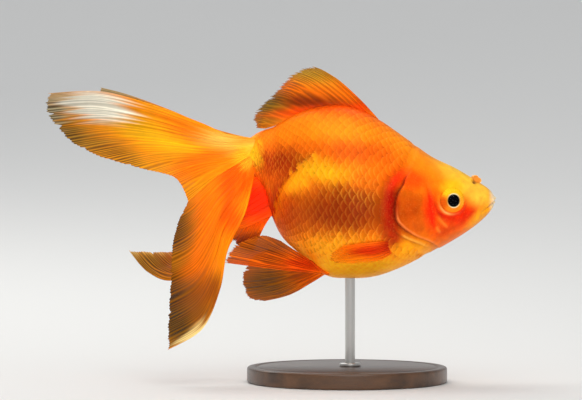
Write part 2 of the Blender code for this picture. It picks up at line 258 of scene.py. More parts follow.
def flank_width(x, z):
    """Half width of the body at places inside its outline, 0 outside it."""
    low, high = np.zeros_like(x), np.ones_like(x)
    for _ in range(26):
        u = (low + high) / 2
        row = spline(STATIONS, u)
        level = (z - row[..., 3]) / (row[..., 1] - row[..., 3])
        ahead = mix(row[..., 2], row[..., 0], level) > x
        low, high = np.where(ahead, u, low), np.where(ahead, high, u)
    level = 2 * level - 1
    inside = (np.abs(level) < 1) & (u > 0.001) & (u < 0.999)
    return np.where(inside, body_point(u, np.clip(level, -1, 1))[1], 0)


widest = body_point(np.full(200, 0.47), np.linspace(-1, 1, 200))[1].max() * 2
print("widest part of the body:", round(float(widest), 1), "mm")

# %% [markdown]
# ## Colours
# A goldfish has few pigments: orange to red in the skin, and a gold sheen where its scales mirror light. So
# the body is one orange with soft patches over it, each an ellipse on the flank. Some patches are painted light
# and shade: a painted gold sheen, a painted dark reflection on the mid flank, and painted shade behind the
# belly.
# The skin and the scales ask the same function, so they carry the same markings.

# %% Body markings
ORANGE = (0.9, 0.17, 0.002)
# x, z, half length, half height, tilt in degrees, softness, strength, colour
BODY_MARKS = [
    (2, 91, 30, 9, -3, 0.7, 0.9, (0.87, 0.072, 0.001)),  # along the root of the dorsal fin
    (-3, 80.5, 24, 5, -4, 0.9, 0.95, (0.92, 0.215, 0.003)),  # upper back
    (4, 73, 20, 4.4, -6, 0.9, 0.85, (0.56, 0.055, 0.001)),  # upper flank
    (24, 75, 14, 9, -40, 0.7, 0.8, (1, 0.29, 0.004)),  # nape
    (13, 67, 9, 8, 0, 0.8, 0.7, (0.82, 0.11, 0.001)),  # shoulder
    # the dark mid flank is painted: a dark reflection of the surroundings in the scales
    (-1.5, 54.6, 25, 11.2, 0, 0.8, 1, (0.225, 0.02, 0.001)),
    (13, 48.5, 4.5, 6, 0, 0.8, 0.9, (0.32, 0.016, 0.001)),  # dark mid flank, painted shade near the gill membrane
    (-21, 55, 5, 9, 0, 0.8, 0.8, (0.44, 0.024, 0.001)),  # painted shade at the rear of the belly
    (-17, 52.5, 4.5, 7, 0, 0.9, 0.6, (0.3, 0.026, 0.001)),
    (-9.5, 67.7, 10.5, 4, -16, 0.9, 1, (0.98, 0.43, 0.006)),  # gold sheen, a painted highlight on top of the belly
    (-16.5, 64, 5, 4, 40, 0.8, 0.9, (0.95, 0.34, 0.004)),
    (-4, 43, 17, 4.4, 0, 0.8, 1, (0.82, 0.28, 0.005)),  # gold belly: the scales' own gold, brightened by a painted highlight
    (2, 36, 29, 5.5, 0, 0.6, 1, (1, 0.41, 0.01)),  # keel
    (22, 41.5, 12, 5, -22, 0.8, 0.9, (1, 0.38, 0.006)),  # throat
    (-25, 70, 5, 6.5, 0, 0.9, 0.85, (0.5, 0.024, 0.001)),  # shade before the tail root
    (-20, 70.5, 6.5, 5, 20, 0.9, 0.95, (0.3, 0.016, 0.001)),
    (-30.4, 73.2, 3.6, 5.6, 8, 0.9, 1, (0.96, 0.52, 0.01)),  # tail root
    (-36.5, 73, 4, 6.5, 0, 0.8, 1, (1, 0.33, 0.02)),
    (-28, 57, 4.5, 9.5, 15, 0.7, 1, (0.98, 0.024, 0.001)),  # vent
    # painted shade, dark red, in the gill opening behind the cover
    (13.4, 57, 3.2, 10, 0, 0.8, 1, (0.38, 0.004, 0.001)),
    (14.2, 46.2, 4, 3.4, 0, 0.8, 0.9, (0.4, 0.01, 0.001)),  # red behind the gill cover, with painted shade at the pectoral fin's root
    (15.5, 64.8, 4.5, 2, 55, 0.8, 0.9, (0.78, 0.014, 0.001)),
    (20, 54.7, 5.5, 7.3, 0, 0.8, 0.95, (0.46, 0.05, 0.001)),  # gill cover
    (20.5, 64.5, 5.5, 3.5, 0, 0.8, 0.8, (0.98, 0.05, 0.001)),
    (22, 50, 4.5, 3.5, -20, 0.8, 0.8, (0.56, 0.075, 0.002)),
    (26, 54.5, 2.8, 7.5, 6, 0.8, 0.9, (0.82, 0.01, 0.001)),  # along the plate before it
    (36, 53.2, 8, 4.4, 30, 0.8, 1, (0.8, 0.02, 0.001)),  # cheek
    (30.5, 49, 6, 3.4, 30, 0.8, 0.9, (0.68, 0.048, 0.001)),
    (36, 66.5, 11, 5, -38, 0.8, 0.9, (1, 0.58, 0.035)),  # forehead
    (33.4, 62.2, 4.6, 2.9, -4, 0.7, 0.95, (0.98, 0.55, 0.008)),  # yellow above the eye
    (42, 60.5, 7, 5, -30, 0.8, 0.95, (1, 0.56, 0.045)),  # snout
    (42.6, 53.4, 7, 2.2, 42, 0.8, 0.9, (0.98, 0.42, 0.012)),  # chin
]
# where the scales have gilding, without a colour: a metallic mirror, with a painted gold sheen and painted
# glints
GILDING_AND_SHEEN = [(-4, 43.5, 22, 7, 0, 0.7, 1), (-6, 68, 16, 5, -14, 0.8, 0.8), (0, 60.5, 14, 3.4, -14, 0.9, 0.7),
        (-29, 71, 5, 7, 0, 0.8, 0.8), (10, 39, 20, 5, 12, 0.8, 0.7), (-23, 70, 4, 6, 20, 0.8, 0.5),
        (-2, 83, 22, 8, 0, 0.8, 0.1)]


def lay(under, colour, much):
    """A colour laid over others, by how much at each point."""
    return mix(under, np.asarray(colour), np.clip(much, 0, 1)[:, None])


def patch(x, z, centre_x, centre_z, half_long, half_high, tilt, soft):
    """How much of an elliptical patch lies at places on the flank, 1 in its middle and 0 outside."""
    turn = math.radians(tilt)
    along = ((x - centre_x) * math.cos(turn) + (z - centre_z) * math.sin(turn)) / half_long
    up = (-(x - centre_x) * math.sin(turn) + (z - centre_z) * math.cos(turn)) / half_high
    return 1 - ease(1 - soft, 1 + 0.4 * soft, np.hypot(along, up))


def paint(x, z, base, marks):
    """The colour at places on the flank: a base with soft patches laid over it in turn."""
    colour = np.tile(np.asarray(base, float), (len(x), 1))
    for *place, strength, tone in marks:
        colour = lay(colour, tone, strength * patch(x, z, *place))
    return colour


def flank_colour(x, z):
    """The body's markings, with painted shade behind the belly's rear edge and a painted highlight along it."""
    gap, strength = belly_edge(x, z)
    on_belly = ease(-0.3, 0.3, gap)
    colour = paint(x, z, ORANGE, BODY_MARKS)
    # painted shade behind the belly's rear edge
    colour = lay(colour, (0.32, 0.012, 0.001), 0.92 * strength * (1 - on_belly) * trail(-gap, 6))
    # a painted highlight along the belly's rear edge
    return lay(colour, (0.92, 0.3, 0.004), 0.55 * strength * on_belly * trail(gap, 1.3))


def gilding_and_sheen(x, z):
    """How much metallic mirror and painted gold sheen a scale has at places on the flank."""
    return np.max([strength * patch(x, z, *place) for *place, strength in GILDING_AND_SHEEN], axis=0)


print("body colour in", len(BODY_MARKS), "patches over one orange")

# %% [markdown]
# ## Finishes in sums
# A finish is a web of nodes, but most of it is plain arithmetic. One small class wraps a socket and takes
# the signs + - and *, so that a mask reads as a sum. Every other node comes from one method.

# %% A socket that takes sums
class Socket:
    """One output of a finish's nodes. Arithmetic on it adds Math nodes."""

    def __init__(self, finish, out):
        self.finish, self.out = finish, out

    def sum(self, operation, first, second):
        return self.finish.node("Math", {0: first, 1: second}, operation=operation)

    def __add__(self, other): return self.sum("ADD", self, other)
    def __radd__(self, other): return self.sum("ADD", other, self)
    def __sub__(self, other): return self.sum("SUBTRACT", self, other)
    def __rsub__(self, other): return self.sum("SUBTRACT", other, self)
    def __mul__(self, other): return self.sum("MULTIPLY", self, other)
    def __rmul__(self, other): return self.sum("MULTIPLY", other, self)


print("a socket takes + - and *")


# %% A finish
class Finish:
    """A material with one Principled shader, and short ways to feed it."""

    def __init__(self, name, **constants):
        self.material = bpy.data.materials.new(name)
        self.material.use_nodes = True
        self.tree = self.material.node_tree
        self.shader = self.tree.nodes["Principled BSDF"]
        for key, value in constants.items():
            self.shader.inputs[key.replace("_", " ").title().replace("Ior", "IOR")].default_value = value

    def feed(self, socket, value):
        if isinstance(value, Socket):
            self.tree.links.new(value.out, socket)
        else:
            socket.default_value = value

    def node(self, kind, sockets=None, out=0, stops=(), **settings):
        """A node, its settings, and what feeds its sockets."""
        made = self.tree.nodes.new("ShaderNode" + kind)
        for key, value in settings.items():
            setattr(made, key, value)
        for k, (place, colour) in enumerate(stops):
            made.color_ramp.elements[k].position = place
            made.color_ramp.elements[k].color = (*colour, 1)
        for key, value in (sockets or {}).items():
            self.feed(made.inputs[key], value)
        return Socket(self, made.outputs[out])

    def noted(self, name, out="Fac"):
        return self.node("Attribute", out=out, attribute_name=name)

    def place(self, scale=None):
        """Where a point lies on the piece, stretched if a scale is given."""
        at = self.node("TexCoord", out="Object")
        return at if scale is None else self.node("Mapping", {"Vector": at, "Scale": scale})

    def noise(self, scale, detail=3.0, where=None):
        return self.node("TexNoise", {"Vector": where or self.place(), "Scale": scale, "Detail": detail})

    def blend(self, factor, one, other, way="MIX"):
        """Two colours mixed, or the second laid over the first in another way."""
        return self.node("Mix", {0: factor, 6: one, 7: other}, 2, data_type="RGBA", blend_type=way)

    def toned(self, colour, value):
        """A colour made lighter or darker."""
        grey = self.node("CombineColor", {name: value for name in ("Red", "Green", "Blue")})
        return self.blend(1.0, colour, grey, "MULTIPLY")

    def parts(self, colour):
        """The three numbers of a colour."""
        outputs = self.node("SeparateColor", {"Color": colour}).out.node.outputs
        return [Socket(self, outputs[k]) for k in range(3)]

    def step(self, value, low, high):
        return self.node("MapRange", {"Value": value, "From Min": low, "From Max": high},
                         interpolation_type="SMOOTHSTEP")

    def bump(self, height, depth_mm):
        return self.node("Bump", {"Height": height, "Distance": depth_mm * MM})

    def set(self, **links):
        for key, value in links.items():
            self.feed(self.shader.inputs[key.replace("_", " ").title()], value)


print("a finish can", ", ".join(way for way in vars(Finish) if way[0] != "_"))

# %% [markdown]
# ## The skin
# One skin covers all of the flesh, so that no seam shows. It could be moulded from the solids, but their
# facets would show. Instead a ball is stretched over the body's own form: its poles go to the lips and the
# tail root, and its rings lie closer on the head, where the fine folds are.

# %% Stretch a ball over the body
RINGS, SEGMENTS = 268, 350
CAP_RINGS = 7               # rings that close each end
HEAD_SPACING, BODY_SPACING = 0.20, 0.44
HEAD_ENDS_AT = 12.0
COAT_DEPTH = 0.22           # how far the skin lies inside the flesh under the scales
BARE_DEPTH = 0.03

skin, sphere = add_ball("skin", SEGMENTS, RINGS)
ring = np.rint(np.arccos(np.clip(sphere[:, 2], -1, 1)) / math.pi * RINGS)
turn = np.arctan2(sphere[:, 1], sphere[:, 0])

axis_u = np.linspace(0, 1, 900)
middle = spline(STATIONS, axis_u)
axis_x, axis_z = middle[:, [0, 2]].mean(1), middle[:, [1, 3]].mean(1)
spacing = mix(BODY_SPACING, HEAD_SPACING, ease(HEAD_ENDS_AT - 5, HEAD_ENDS_AT + 2, axis_x[1:]))
count = np.concatenate([[0], np.cumsum(np.hypot(np.diff(axis_x), np.diff(axis_z)) / spacing)])
count *= (RINGS - 2 * CAP_RINGS) / count[-1]
u = np.interp(ring - CAP_RINGS, count, axis_u)
print("skin rings:", RINGS, "faces:", len(skin.data.polygons))


# %% Where the skin's points lie, before any fold
def skin_form(u, turn, ring):
    """Places on the flesh for points of the ball, with both ends rounded shut."""
    x, half, z = body_point(u, np.cos(turn))
    row = spline(STATIONS, u)
    mid_x, mid_z = row[:, [0, 2]].mean(1), row[:, [1, 3]].mean(1)
    inward = np.minimum(ring, RINGS - ring) / CAP_RINGS
    quarter = np.clip(inward, 0, 1) * math.pi / 2
    bulge = np.where(inward < 1, np.cos(quarter), 0) * np.where(ring < RINGS / 2, 0.5, -0.5)
    y = -np.sign(np.sin(turn)) * half * (np.abs(np.sin(turn)) > 1e-6)
    size = np.sin(quarter)
    return np.column_stack([mix(mid_x, x, size) + bulge, y * size, mix(mid_z, z, size)])


flesh_points = skin_form(u, turn, ring)
shape(skin, flesh_points)
outward = np.empty(len(flesh_points) * 3)
skin.data.vertices.foreach_get("normal", outward)
outward = outward.reshape(-1, 3)
print("skin from", np.round(flesh_points.min(0), 1), "to", np.round(flesh_points.max(0), 1))

# %% [markdown]
# ## Folds of the head
# A goldfish's head is bare skin over bone: a gill cover like a lid with a free rear edge, a smaller plate in
# front of it, membranes below it, the rim of the eye socket, lips that push forward, and a pair of nose
# openings. Each is a line drawn on the cheek. A fold's height depends on the distance from its line, so both
# cheeks get it alike.

# %% Lines of the head, as (x, z) on the cheek
GILL_EDGE = [(20.2, 67.6), (18.5, 65.6), (17.4, 62.9), (15.6, 60), (14.9, 57), (14.8, 54), (15.3, 51.6),
             (16.9, 49.8), (19.4, 47.9), (22.6, 46.2), (25.6, 45.2), (28.4, 43.6)]
PLATE_EDGE = [(24, 65.2), (25.4, 62.4), (26.2, 58.2), (26.6, 54.4), (27.2, 50.8), (28.4, 48.6)]
MEMBRANE_EDGE = [(13.9, 50.6), (15.2, 48), (17.2, 46.5), (20, 45.2), (22.6, 44.2), (26.4, 42.6)]
CHEEK_FOLDS = [[(27.6, 53.4), (28.6, 51.9), (30, 50.2), (31.6, 48.9)],
               [(27.2, 49.9), (27.9, 48.6), (29, 47.4)]]
MOUTH = [(48.2, 58.6), (46.6, 57.3), (44.6, 55.6), (42.6, 54.1)]
JAW_CREASE = [(45, 61.6), (43.2, 59), (41.7, 56.2), (41, 53.2), (41.4, 51.2)]
EYE_X, EYE_Y, EYE_Z = 32.8, 9.8, 58
EYE_RADIUS = 4.2
NOSTRIL_X, NOSTRIL_Z = 40.6, 64
DEPTH_OF_EYE_SOCKET = 2.6
# line, where it fades in and out, its ridges and grooves as (height, distance from the line, width)
FOLD_LINES = [
    (PLATE_EDGE, (0, 0.3, 0.75, 1), [(-0.26, -0.25, 0.38), (0.16, 0.7, 0.9)]),
    (CHEEK_FOLDS[0], (0, 0.3, 0.7, 1), [(0.24, 0.5, 0.55), (-0.16, -0.3, 0.4)]),
    (CHEEK_FOLDS[1], (0, 0.3, 0.7, 1), [(0.24, 0.5, 0.55), (-0.16, -0.3, 0.4)]),
    (JAW_CREASE, (0, 0.25, 0.8, 1), [(-0.15, 0, 0.4), (0.08, 0.8, 0.6)]),
]


def folds(x, y, z):
    """How far the skin rises or sinks at places on the flesh, and how much painted shade, dark red, it gets in
    a slit.
    """
    gap, place = beside(GILL_EDGE, x, z)          # negative behind and below the cover
    strength = ease(0, 0.16, place) * (1 - 0.65 * ease(0.55, 0.95, place))
    on_cover = ease(-0.14, 0.14, gap)
    lid = 0.42 * trail(gap, 3.4) + 0.16 * bell(gap - 0.45, 0.5)
    rise = strength * mix(-0.85 * trail(-gap, 1.3), lid, on_cover)
    slit = strength * (1 - on_cover) * trail(-gap, 0.8)
    rise += 0.14 * bell(gap + 2.6, 0.9) * fade(place, 0.05, 0.2, 0.5, 0.65)       # shoulder bone

    gap, place = beside(MEMBRANE_EDGE, x, z)
    strength = fade(place, 0, 0.2, 0.7, 1)
    on_cover = ease(-0.13, 0.13, gap)
    rise += strength * mix(-0.35 * trail(-gap, 1.2), 0.26 * bell(gap - 0.35, 0.5), on_cover)
    slit += 0.45 * strength * (1 - on_cover) * trail(-gap, 0.7)

    for line, ends, ridges in FOLD_LINES:
        gap, place = beside(line, x, z)
        rise += fade(place, *ends) * sum(high * bell(gap - at, width) for high, at, width in ridges)
    rise += 0.13 * bell(np.hypot(x - 26.8, z - 46.5) - 1.15, 0.32)                # a wrinkle below them

    gap, place = beside(MOUTH, x, z)
    still = 1 - ease(0.55, 1, place)
    rise += still * (-0.6 * bell(gap, 0.24) + mix(0.4, 0.1, place) * bell(np.abs(gap) - 0.85, 0.55))
    slit += 0.3 * still * bell(gap, 0.24)

    from_eye = np.hypot(x - EYE_X, z - EYE_Z) - EYE_RADIUS
    below = ease(1.5, -2, z - EYE_Z)
    rim = mix(0.03, 0.26, below) * bell(from_eye - 0.05, 0.42) - 0.2 * below * bell(from_eye - 1.1, 0.6)
    rise += ease(2, 5, np.abs(y)) * (rim - DEPTH_OF_EYE_SOCKET * (1 - ease(-0.95, -0.4, from_eye)))
    from_nose = np.hypot((x - NOSTRIL_X) / 1.25, z - NOSTRIL_Z)
    at_nose = ease(0.8, 2, np.abs(y))
    rise += at_nose * (-0.7 * bell(from_nose, 0.55) + 0.16 * bell(from_nose - 1.1, 0.45))
    return rise, np.clip(slit + 0.8 * at_nose * bell(from_nose, 0.6), 0, 1)


print("head folds drawn along", 3 + len(FOLD_LINES), "lines")

# %% Raise and sink the skin
SCALES_START = [(24.5, 96), (24, 84), (22.6, 76), (20.2, 69.6), (17, 66), (13.6, 62.5), (12, 58.5),
                (11.6, 54.5), (12.6, 51), (14.2, 48.2), (17.5, 45.4), (22, 43.2), (27, 40.5), (30, 34)]


def under_coat(x, z):
    """1 where scales cover the skin, 0 on the bare head."""
    return ease(-0.8, 0.8, -beside(SCALES_START, x, z)[0])


x, y, z = flesh_points.T
rise, slit = folds(x, y, z)
bare = 1 - under_coat(x, z)
shape(skin, flesh_points + outward * (rise - mix(COAT_DEPTH, BARE_DEPTH, bare))[:, None])
print("deepest slit:", round(float(slit.max()), 2), "bare share:", round(float(bare.mean()), 2))

# %% [markdown]
# The lips, the slits, the rim of the cover and the eye's surround are laid over the markings on the skin only:
# cream lips, painted shade in dark red in the slits, a pale edge on the gill cover, a pale lid and a painted
# red shadow below the eye.

# %% Colour the skin
LIP_CREAM = (0.98, 0.82, 0.52)
# painted shade, dark red, in the gill slits, the mouth line and the nose openings
SLIT_SHADE_RED = (0.11, 0.002, 0.001)
LID_PEACH = (0.98, 0.4, 0.1)
# a painted red shadow below the eye
SHADOW_BELOW_EYE_RED = (0.6, 0.008, 0.001)
# line, distance from it, width, where it fades in and out, strength, colour
EDGE_TINTS = [
    (GILL_EDGE, 0.35, 0.33, (0.35, 0.6, 0.9, 1), 0.6, (0.98, 0.26, 0.06)),
    (MEMBRANE_EDGE, 0.4, 0.4, (0.3, 0.45, 0.8, 1), 0.8, (0.98, 0.45, 0.06)),
    (CHEEK_FOLDS[0], 0.5, 0.5, (0, 0.3, 0.7, 1), 0.5, (0.98, 0.3, 0.03)),
    (CHEEK_FOLDS[1], 0.5, 0.5, (0, 0.3, 0.7, 1), 0.5, (0.98, 0.3, 0.03)),
    (PLATE_EDGE, -0.4, 0.7, (0.15, 0.4, 0.75, 1), 0.8, (0.8, 0.01, 0.001)),
]
tint = flank_colour(x, z)
for line, at, width, ends, strength, colour in EDGE_TINTS:
    gap, place = beside(line, x, z)
    tint = lay(tint, colour, strength * bell(gap - at, width) * fade(place, *ends))
from_eye, angle = np.hypot(x - EYE_X, z - EYE_Z) - EYE_RADIUS, np.arctan2(z - EYE_Z, x - EYE_X) / math.pi
# a painted red shadow below the eye and a pale lid: distance from the eye, width, middle and half spread of the
# arc
for colour, strength, at, width, arc, spread in (
        (SHADOW_BELOW_EYE_RED, 1, 1.4, 1.2, -0.70, 0.95), (LID_PEACH, 0.95, 0.05, 0.36, -0.66, 0.62)):
    off_arc = (np.mod(angle - arc + 1, 2) - 1) * math.pi
    tint = lay(tint, colour, strength * bell(from_eye - at, width) * bell(off_arc, spread))
gap, place = beside(MOUTH, x, z)
lip = bell(np.abs(gap) - 0.6, 0.7) * (1 - ease(0.12, 0.62, place))
tint = lay(tint, LIP_CREAM, 0.9 * np.maximum(lip, ease(44.8, 46.6, x)))
# painted shade in the slits
tint = lay(tint, SLIT_SHADE_RED, 1.15 * slit)
note(skin, "tint", tint)
skin.data.uv_layers[0].name = "OFBake"
print("mean skin colour:", np.round(tint.mean(0), 3))

# %% [markdown]
# Wet skin has a thin clear film over it, and light goes a little way in. Small dark pores and pale flecks
# break the colour up.

# %% Skin finish
FLESH = {"subsurface_radius": (1.0, 0.25, 0.05)}        # red goes deepest
skin_look = Finish("wet skin", roughness=0.42, coat_weight=0.04, coat_roughness=0.12, ior=1.33,
                   specular_ior_level=0.16, specular_tint=(1.0, 0.7, 0.42, 1), subsurface_weight=0.12,
                   subsurface_scale=1.0 * MM, **FLESH)
cloud, fleck = skin_look.noise(420), skin_look.noise(2300, 2)
pores = skin_look.node("TexVoronoi", {"Vector": skin_look.place(), "Scale": 900.0}, "Distance", feature="F1")
clouded = skin_look.node("ValToRGB", {"Fac": cloud}, stops=[(0.3, (0.5, 0.36, 0.36)), (0.7, (1.2, 1.25, 1.25))])
shade = skin_look.blend(0.35, skin_look.noted("tint", "Color"), clouded, "MULTIPLY")
skin_look.set(base_color=skin_look.blend((fleck - 0.52) * 0.36, shade, (1.0, 0.5, 0.08, 1)),
              roughness=0.32 + cloud * 0.2, normal=skin_look.bump(pores * 0.4 + fleck * 0.4 + cloud, 0.08))
finished(skin, skin_look, "skin",
         "head", "lower_jaw", "gill_cover_left", "gill_cover_right", "trunk", "tail_base")

# %% [markdown]
# ## The coat of scales
# Scales are thin plates, rooted in the skin with the rear edge free, laid in rows like roof tiles. Each row
# is set half a step against the next. They are tall on the flank, small on the back and towards the tail. One
# plate could be copied along the rows with arrays, but plates that bend with the body need their points on
# the flank itself, so every plate is the same small grid, laid on the form by its own place.

# %% The flank as a map
MAP_U, MAP_G = 420, 260
map_u = np.linspace(0, 1, MAP_U)
flank_map = np.empty((MAP_U, MAP_G, 3))
half_girth = np.empty(MAP_U)
level = np.cos(np.linspace(0, math.pi, 700))
for i, at in enumerate(map_u):
    section = np.column_stack(body_point(np.full(level.shape, at), level))
    walk = np.concatenate([[0], np.cumsum(np.linalg.norm(np.diff(section, axis=0), axis=1))])
    half_girth[i] = walk[-1]
    flank_map[i] = np.column_stack([np.interp(np.linspace(0, walk[-1], MAP_G), walk, v) for v in section.T])


def on_flank(u, g):
    """Places on the left flank: u from lips to tail, g from back 0 to keel 1. Past either, it goes round."""
    round_back, round_keel = g < 0, g > 1
    g = np.where(round_back, -g, np.where(round_keel, 2 - g, g))
    fu, fg = np.clip(u, 0, 1) * (MAP_U - 1), np.clip(g, 0, 1) * (MAP_G - 1)
    i, j = np.minimum(fu.astype(int), MAP_U - 2), np.minimum(fg.astype(int), MAP_G - 2)
    a, b = (fu - i)[..., None], (fg - j)[..., None]
    at = mix(mix(flank_map[i, j], flank_map[i + 1, j], a),
             mix(flank_map[i, j + 1], flank_map[i + 1, j + 1], a), b)
    at[..., 1] *= np.where(round_back | round_keel, -1, 1)
    return at


def girth_at(u):
    """The way from back to keel over one flank."""
    return float(np.interp(u, map_u, half_girth))


print("longest way from back to keel:", round(float(half_girth.max()), 1), "mm")

# %% Lay out the rows
FIRST_COLUMN_X, LAST_COLUMN_X = 27.0, -32.6
# x, distance between scales along a row, height of a scale
SCALE_SIZES = np.array([(-31, 1.2, 2.1), (-26, 1.4, 2.4), (-20, 1.8, 2.9), (-13, 2.25, 3.5), (-4, 2.5, 3.9),
                        (14, 2.5, 3.8), (24, 2.1, 3.3)])
# way down the flank, height there
HEIGHTS_BY_GIRTH = [(0, 0.72), (0.16, 0.8), (0.36, 1), (0.62, 1), (0.8, 0.82), (1, 0.72)]
steps_down = np.linspace(0, 1, 400)
density = 1 / np.interp(steps_down, *np.transpose(HEIGHTS_BY_GIRTH))
share = np.concatenate([[0], np.cumsum((density[1:] + density[:-1]) / 2)])
share /= share[-1]

columns, at = [], FIRST_COLUMN_X
flank_x = on_flank(map_u, np.full(MAP_U, 0.45))[:, 0][::-1]
while at > LAST_COLUMN_X:
    pitch, tall = (np.interp(at, SCALE_SIZES[:, 0], SCALE_SIZES[:, k]) for k in (1, 2))
    column_u = float(np.interp(at, flank_x, map_u[::-1]))
    columns.append((column_u, pitch, max(round(girth_at(column_u) / tall / 0.9), 5)))
    at -= pitch / 2

roots = []
for k, (column_u, pitch, rows) in enumerate(columns):
    for row in range(rows + 1):
        spot = (row + 0.5 * (k % 2)) / rows
        if spot <= 1:
            ends = np.clip([spot, spot - 0.5 / rows, spot + 0.5 / rows], 0, 1)
            g, before, after = np.interp(ends, share, steps_down).tolist()
            roots.append((k, column_u, g, pitch, (after - before) * (1 if 0 < spot < 1 else 2), spot, rows))
print("columns:", len(columns), "scales on one flank before trimming:", len(roots))

# %% One plate
ALONG_LINES = [0, 0.32, 0.62, 0.86, 0.965, 1]          # closer at the edges, so that only the rim is rounded
ACROSS_LINES = [-1, -0.94, -0.52, 0, 0.52, 0.94, 1]
ROWS_OF_PLATE, ACROSS = len(ALONG_LINES), len(ACROSS_LINES)
GRID = ROWS_OF_PLATE * ACROSS
ROOT_SUNK, PLATE_LAID, EDGE_RAISED = -0.30, -0.07, 0.032
PLATE_THICKNESS, PLATE_DOME = 0.05, 0.055
along_grid, across_grid = (v.ravel() for v in np.meshgrid(ALONG_LINES, ACROSS_LINES, indexing="ij"))
outline_width = 0.80 + 0.24 * np.sin(along_grid * math.pi * 0.62)      # narrow root, round rear
outline_along = along_grid * (1 - 0.30 * across_grid ** 2) + 0.04 * (1 - np.abs(across_grid)) * along_grid

# a closed plate: the top grid, the same grid below it, and the rim between them
number = np.arange(GRID).reshape(ROWS_OF_PLATE, ACROSS)
top_faces = np.stack([number[:-1, :-1], number[1:, :-1], number[1:, 1:], number[:-1, 1:]], -1).reshape(-1, 4)
loop = np.concatenate([number[:-1, 0], number[-1, :-1], number[:0:-1, -1], number[0, :0:-1]])
onward = np.roll(loop, -1)
PLATE_FACES = np.vstack([top_faces, top_faces[:, ::-1] + GRID,
                         np.column_stack([onward, loop, loop + GRID, onward + GRID])])
CORNER_ORDER = {RIGHT: [1, 2, 3, 0], LEFT: [0, 3, 2, 1]}       # so that a plate faces outwards on its own side
print("faces of one plate:", len(PLATE_FACES))

# %% Shape every plate on the flank
SCALE_LENGTH = 1.45         # times the distance between scales along a row
SCALE_WIDTH = 1.06          # times the height of a row
FIRST_ROWS = 4.5            # how far behind the head the scales' roots still show
STRAY = 0.40                # how far a scale's colour strays from the markings
OWN_COLOUR = 0.25           # how much of a scale's colour is the same all over it
MOST_BARE = 0.75
COAT_SUNK, BARE_SUNK, FIRST_SUNK = 0.06, 0.5, 0.24      # everywhere, on the bare head, and at the first roots
rng = np.random.default_rng(11)


def lay_plates():
    """All the scales of the left flank, with what their finish and their map need at each point."""
    plates = []
    for k, column_u, g, pitch, tall, spot, rows in roots:
        here = on_flank(np.array([column_u, column_u + map_u[1]]), np.array([g, g]))
        per_mm = map_u[1] / max(float(np.linalg.norm(here[1] - here[0])), 1e-4)
        girth = girth_at(column_u)
        length = pitch * SCALE_LENGTH * rng.uniform(0.95, 1.05)
        width = tall * girth / 2 * SCALE_WIDTH * rng.uniform(0.97, 1.03)
        lean = rng.normal(0, 0.02)
        u = column_u + per_mm * length * (outline_along + lean * across_grid)
        down = g + width * across_grid * outline_width / girth
        if u.max() > 1.0 or u.min() < 0.02:
            continue
        top = on_flank(u, down)
        x, z = top[:, 0], top[:, 2]
        bare = 1 - under_coat(x, z)
        if bare.max() > MOST_BARE:
            continue
        step = 0.004
        out = np.cross(on_flank(u, down + step) - on_flank(u, down - step),
                       on_flank(np.minimum(u + step, 1), down) - on_flank(np.maximum(u - step, 0), down))
        out /= np.maximum(np.linalg.norm(out, axis=1), 1e-9)[:, None]
        size = min(pitch / 2.5, 1.0)
        tilt = rng.normal(0, 0.006)
        first = ease(-FIRST_ROWS, -0.5, beside(SCALES_START, x, z, 14)[0])
        height = mix(ROOT_SUNK, PLATE_LAID, ease(0, 0.32, along_grid))
        height += (EDGE_RAISED * (0.6 + 0.4 * size) - PLATE_LAID) * along_grid
        height += PLATE_DOME * size * (1 - across_grid ** 2) * along_grid * (1.25 - along_grid)
        height += tilt * across_grid - BARE_SUNK * bare - COAT_SUNK
        height -= FIRST_SUNK * first * (1 - ease(0.35, 0.85, along_grid))
        low = height - PLATE_THICKNESS * (1 - 0.65 * along_grid)
        middle = on_flank(np.array([column_u + per_mm * length * 0.6]), np.array([g]))[0]
        stray_x, stray_z = rng.normal(0, STRAY, 2)
        own = flank_colour(middle[:1] + stray_x, middle[2:] + stray_z)
        tint = mix(flank_colour(x + stray_x, z + stray_z), own, OWN_COLOUR)
        # the roots of the first rows show, so they get less painted shade
        lie = np.column_stack([mix(along_grid, np.maximum(along_grid, 0.5), first),
                               across_grid * 0.5 + 0.5, np.full(GRID, rng.uniform())])
        co = np.vstack([top + out * height[:, None], top + out * low[:, None]])
        plates.append((co, np.tile(tint, (2, 1)), np.tile(lie, (2, 1)), np.tile(gilding_and_sheen(x, z), 2),
                       np.array([[k, spot, rows]])))
    return [np.concatenate(columns_of) for columns_of in zip(*plates)]


# %% Join the plates of a side
def scale_piece(name, side):
    """A joined mesh of plates. Each has a patch of the map OFBake at its root's place on the unrolled flank."""
    co, tints, lies, metal_and_sheen_weights, places = lay_plates()
    plates = len(places)
    faces = (PLATE_FACES + (np.arange(plates) * 2 * GRID)[:, None, None]).reshape(-1, 4)
    mesh = bpy.data.meshes.new(name)
    faces = faces[:, CORNER_ORDER[side]]
    mesh.from_pydata((co * [1, side, 1] * MM).tolist(), [], faces.tolist())
    piece = bpy.data.objects.new(name, mesh)
    bpy.context.scene.collection.objects.link(piece)
    for kind, values in (("tint", tints), ("lie", lies), ("gilding_and_sheen", metal_and_sheen_weights)):
        note(piece, kind, values)

    corner = np.empty(faces.size, int)
    mesh.loops.foreach_get("vertex_index", corner)
    k, spot, rows = places.T[:, corner // (2 * GRID)]
    own = corner % (2 * GRID)
    below = own >= GRID                    # the underside has a narrow strip beside the top's patch
    px, py = along_grid[own % GRID], across_grid[own % GRID] * 0.5
    wide, tall = 0.9 / (len(columns) + 2), 0.9 / (rows + 1)
    left = (k + 0.5) / (len(columns) + 2) + wide * (px - 0.5) * np.where(below, 0.14, 0.80)
    left += np.where(below, 0.47, -0.04) * wide
    up = (spot * rows + 0.5) / (rows + 1) + tall * py
    mesh.uv_layers.new(name="OFBake").data.foreach_set("uv", np.column_stack([left, up]).ravel())
    mesh.shade_smooth()
    print(name, "plates:", plates)
    return piece


scales = [scale_piece("scales_" + name, side) for name, side in SIDES]
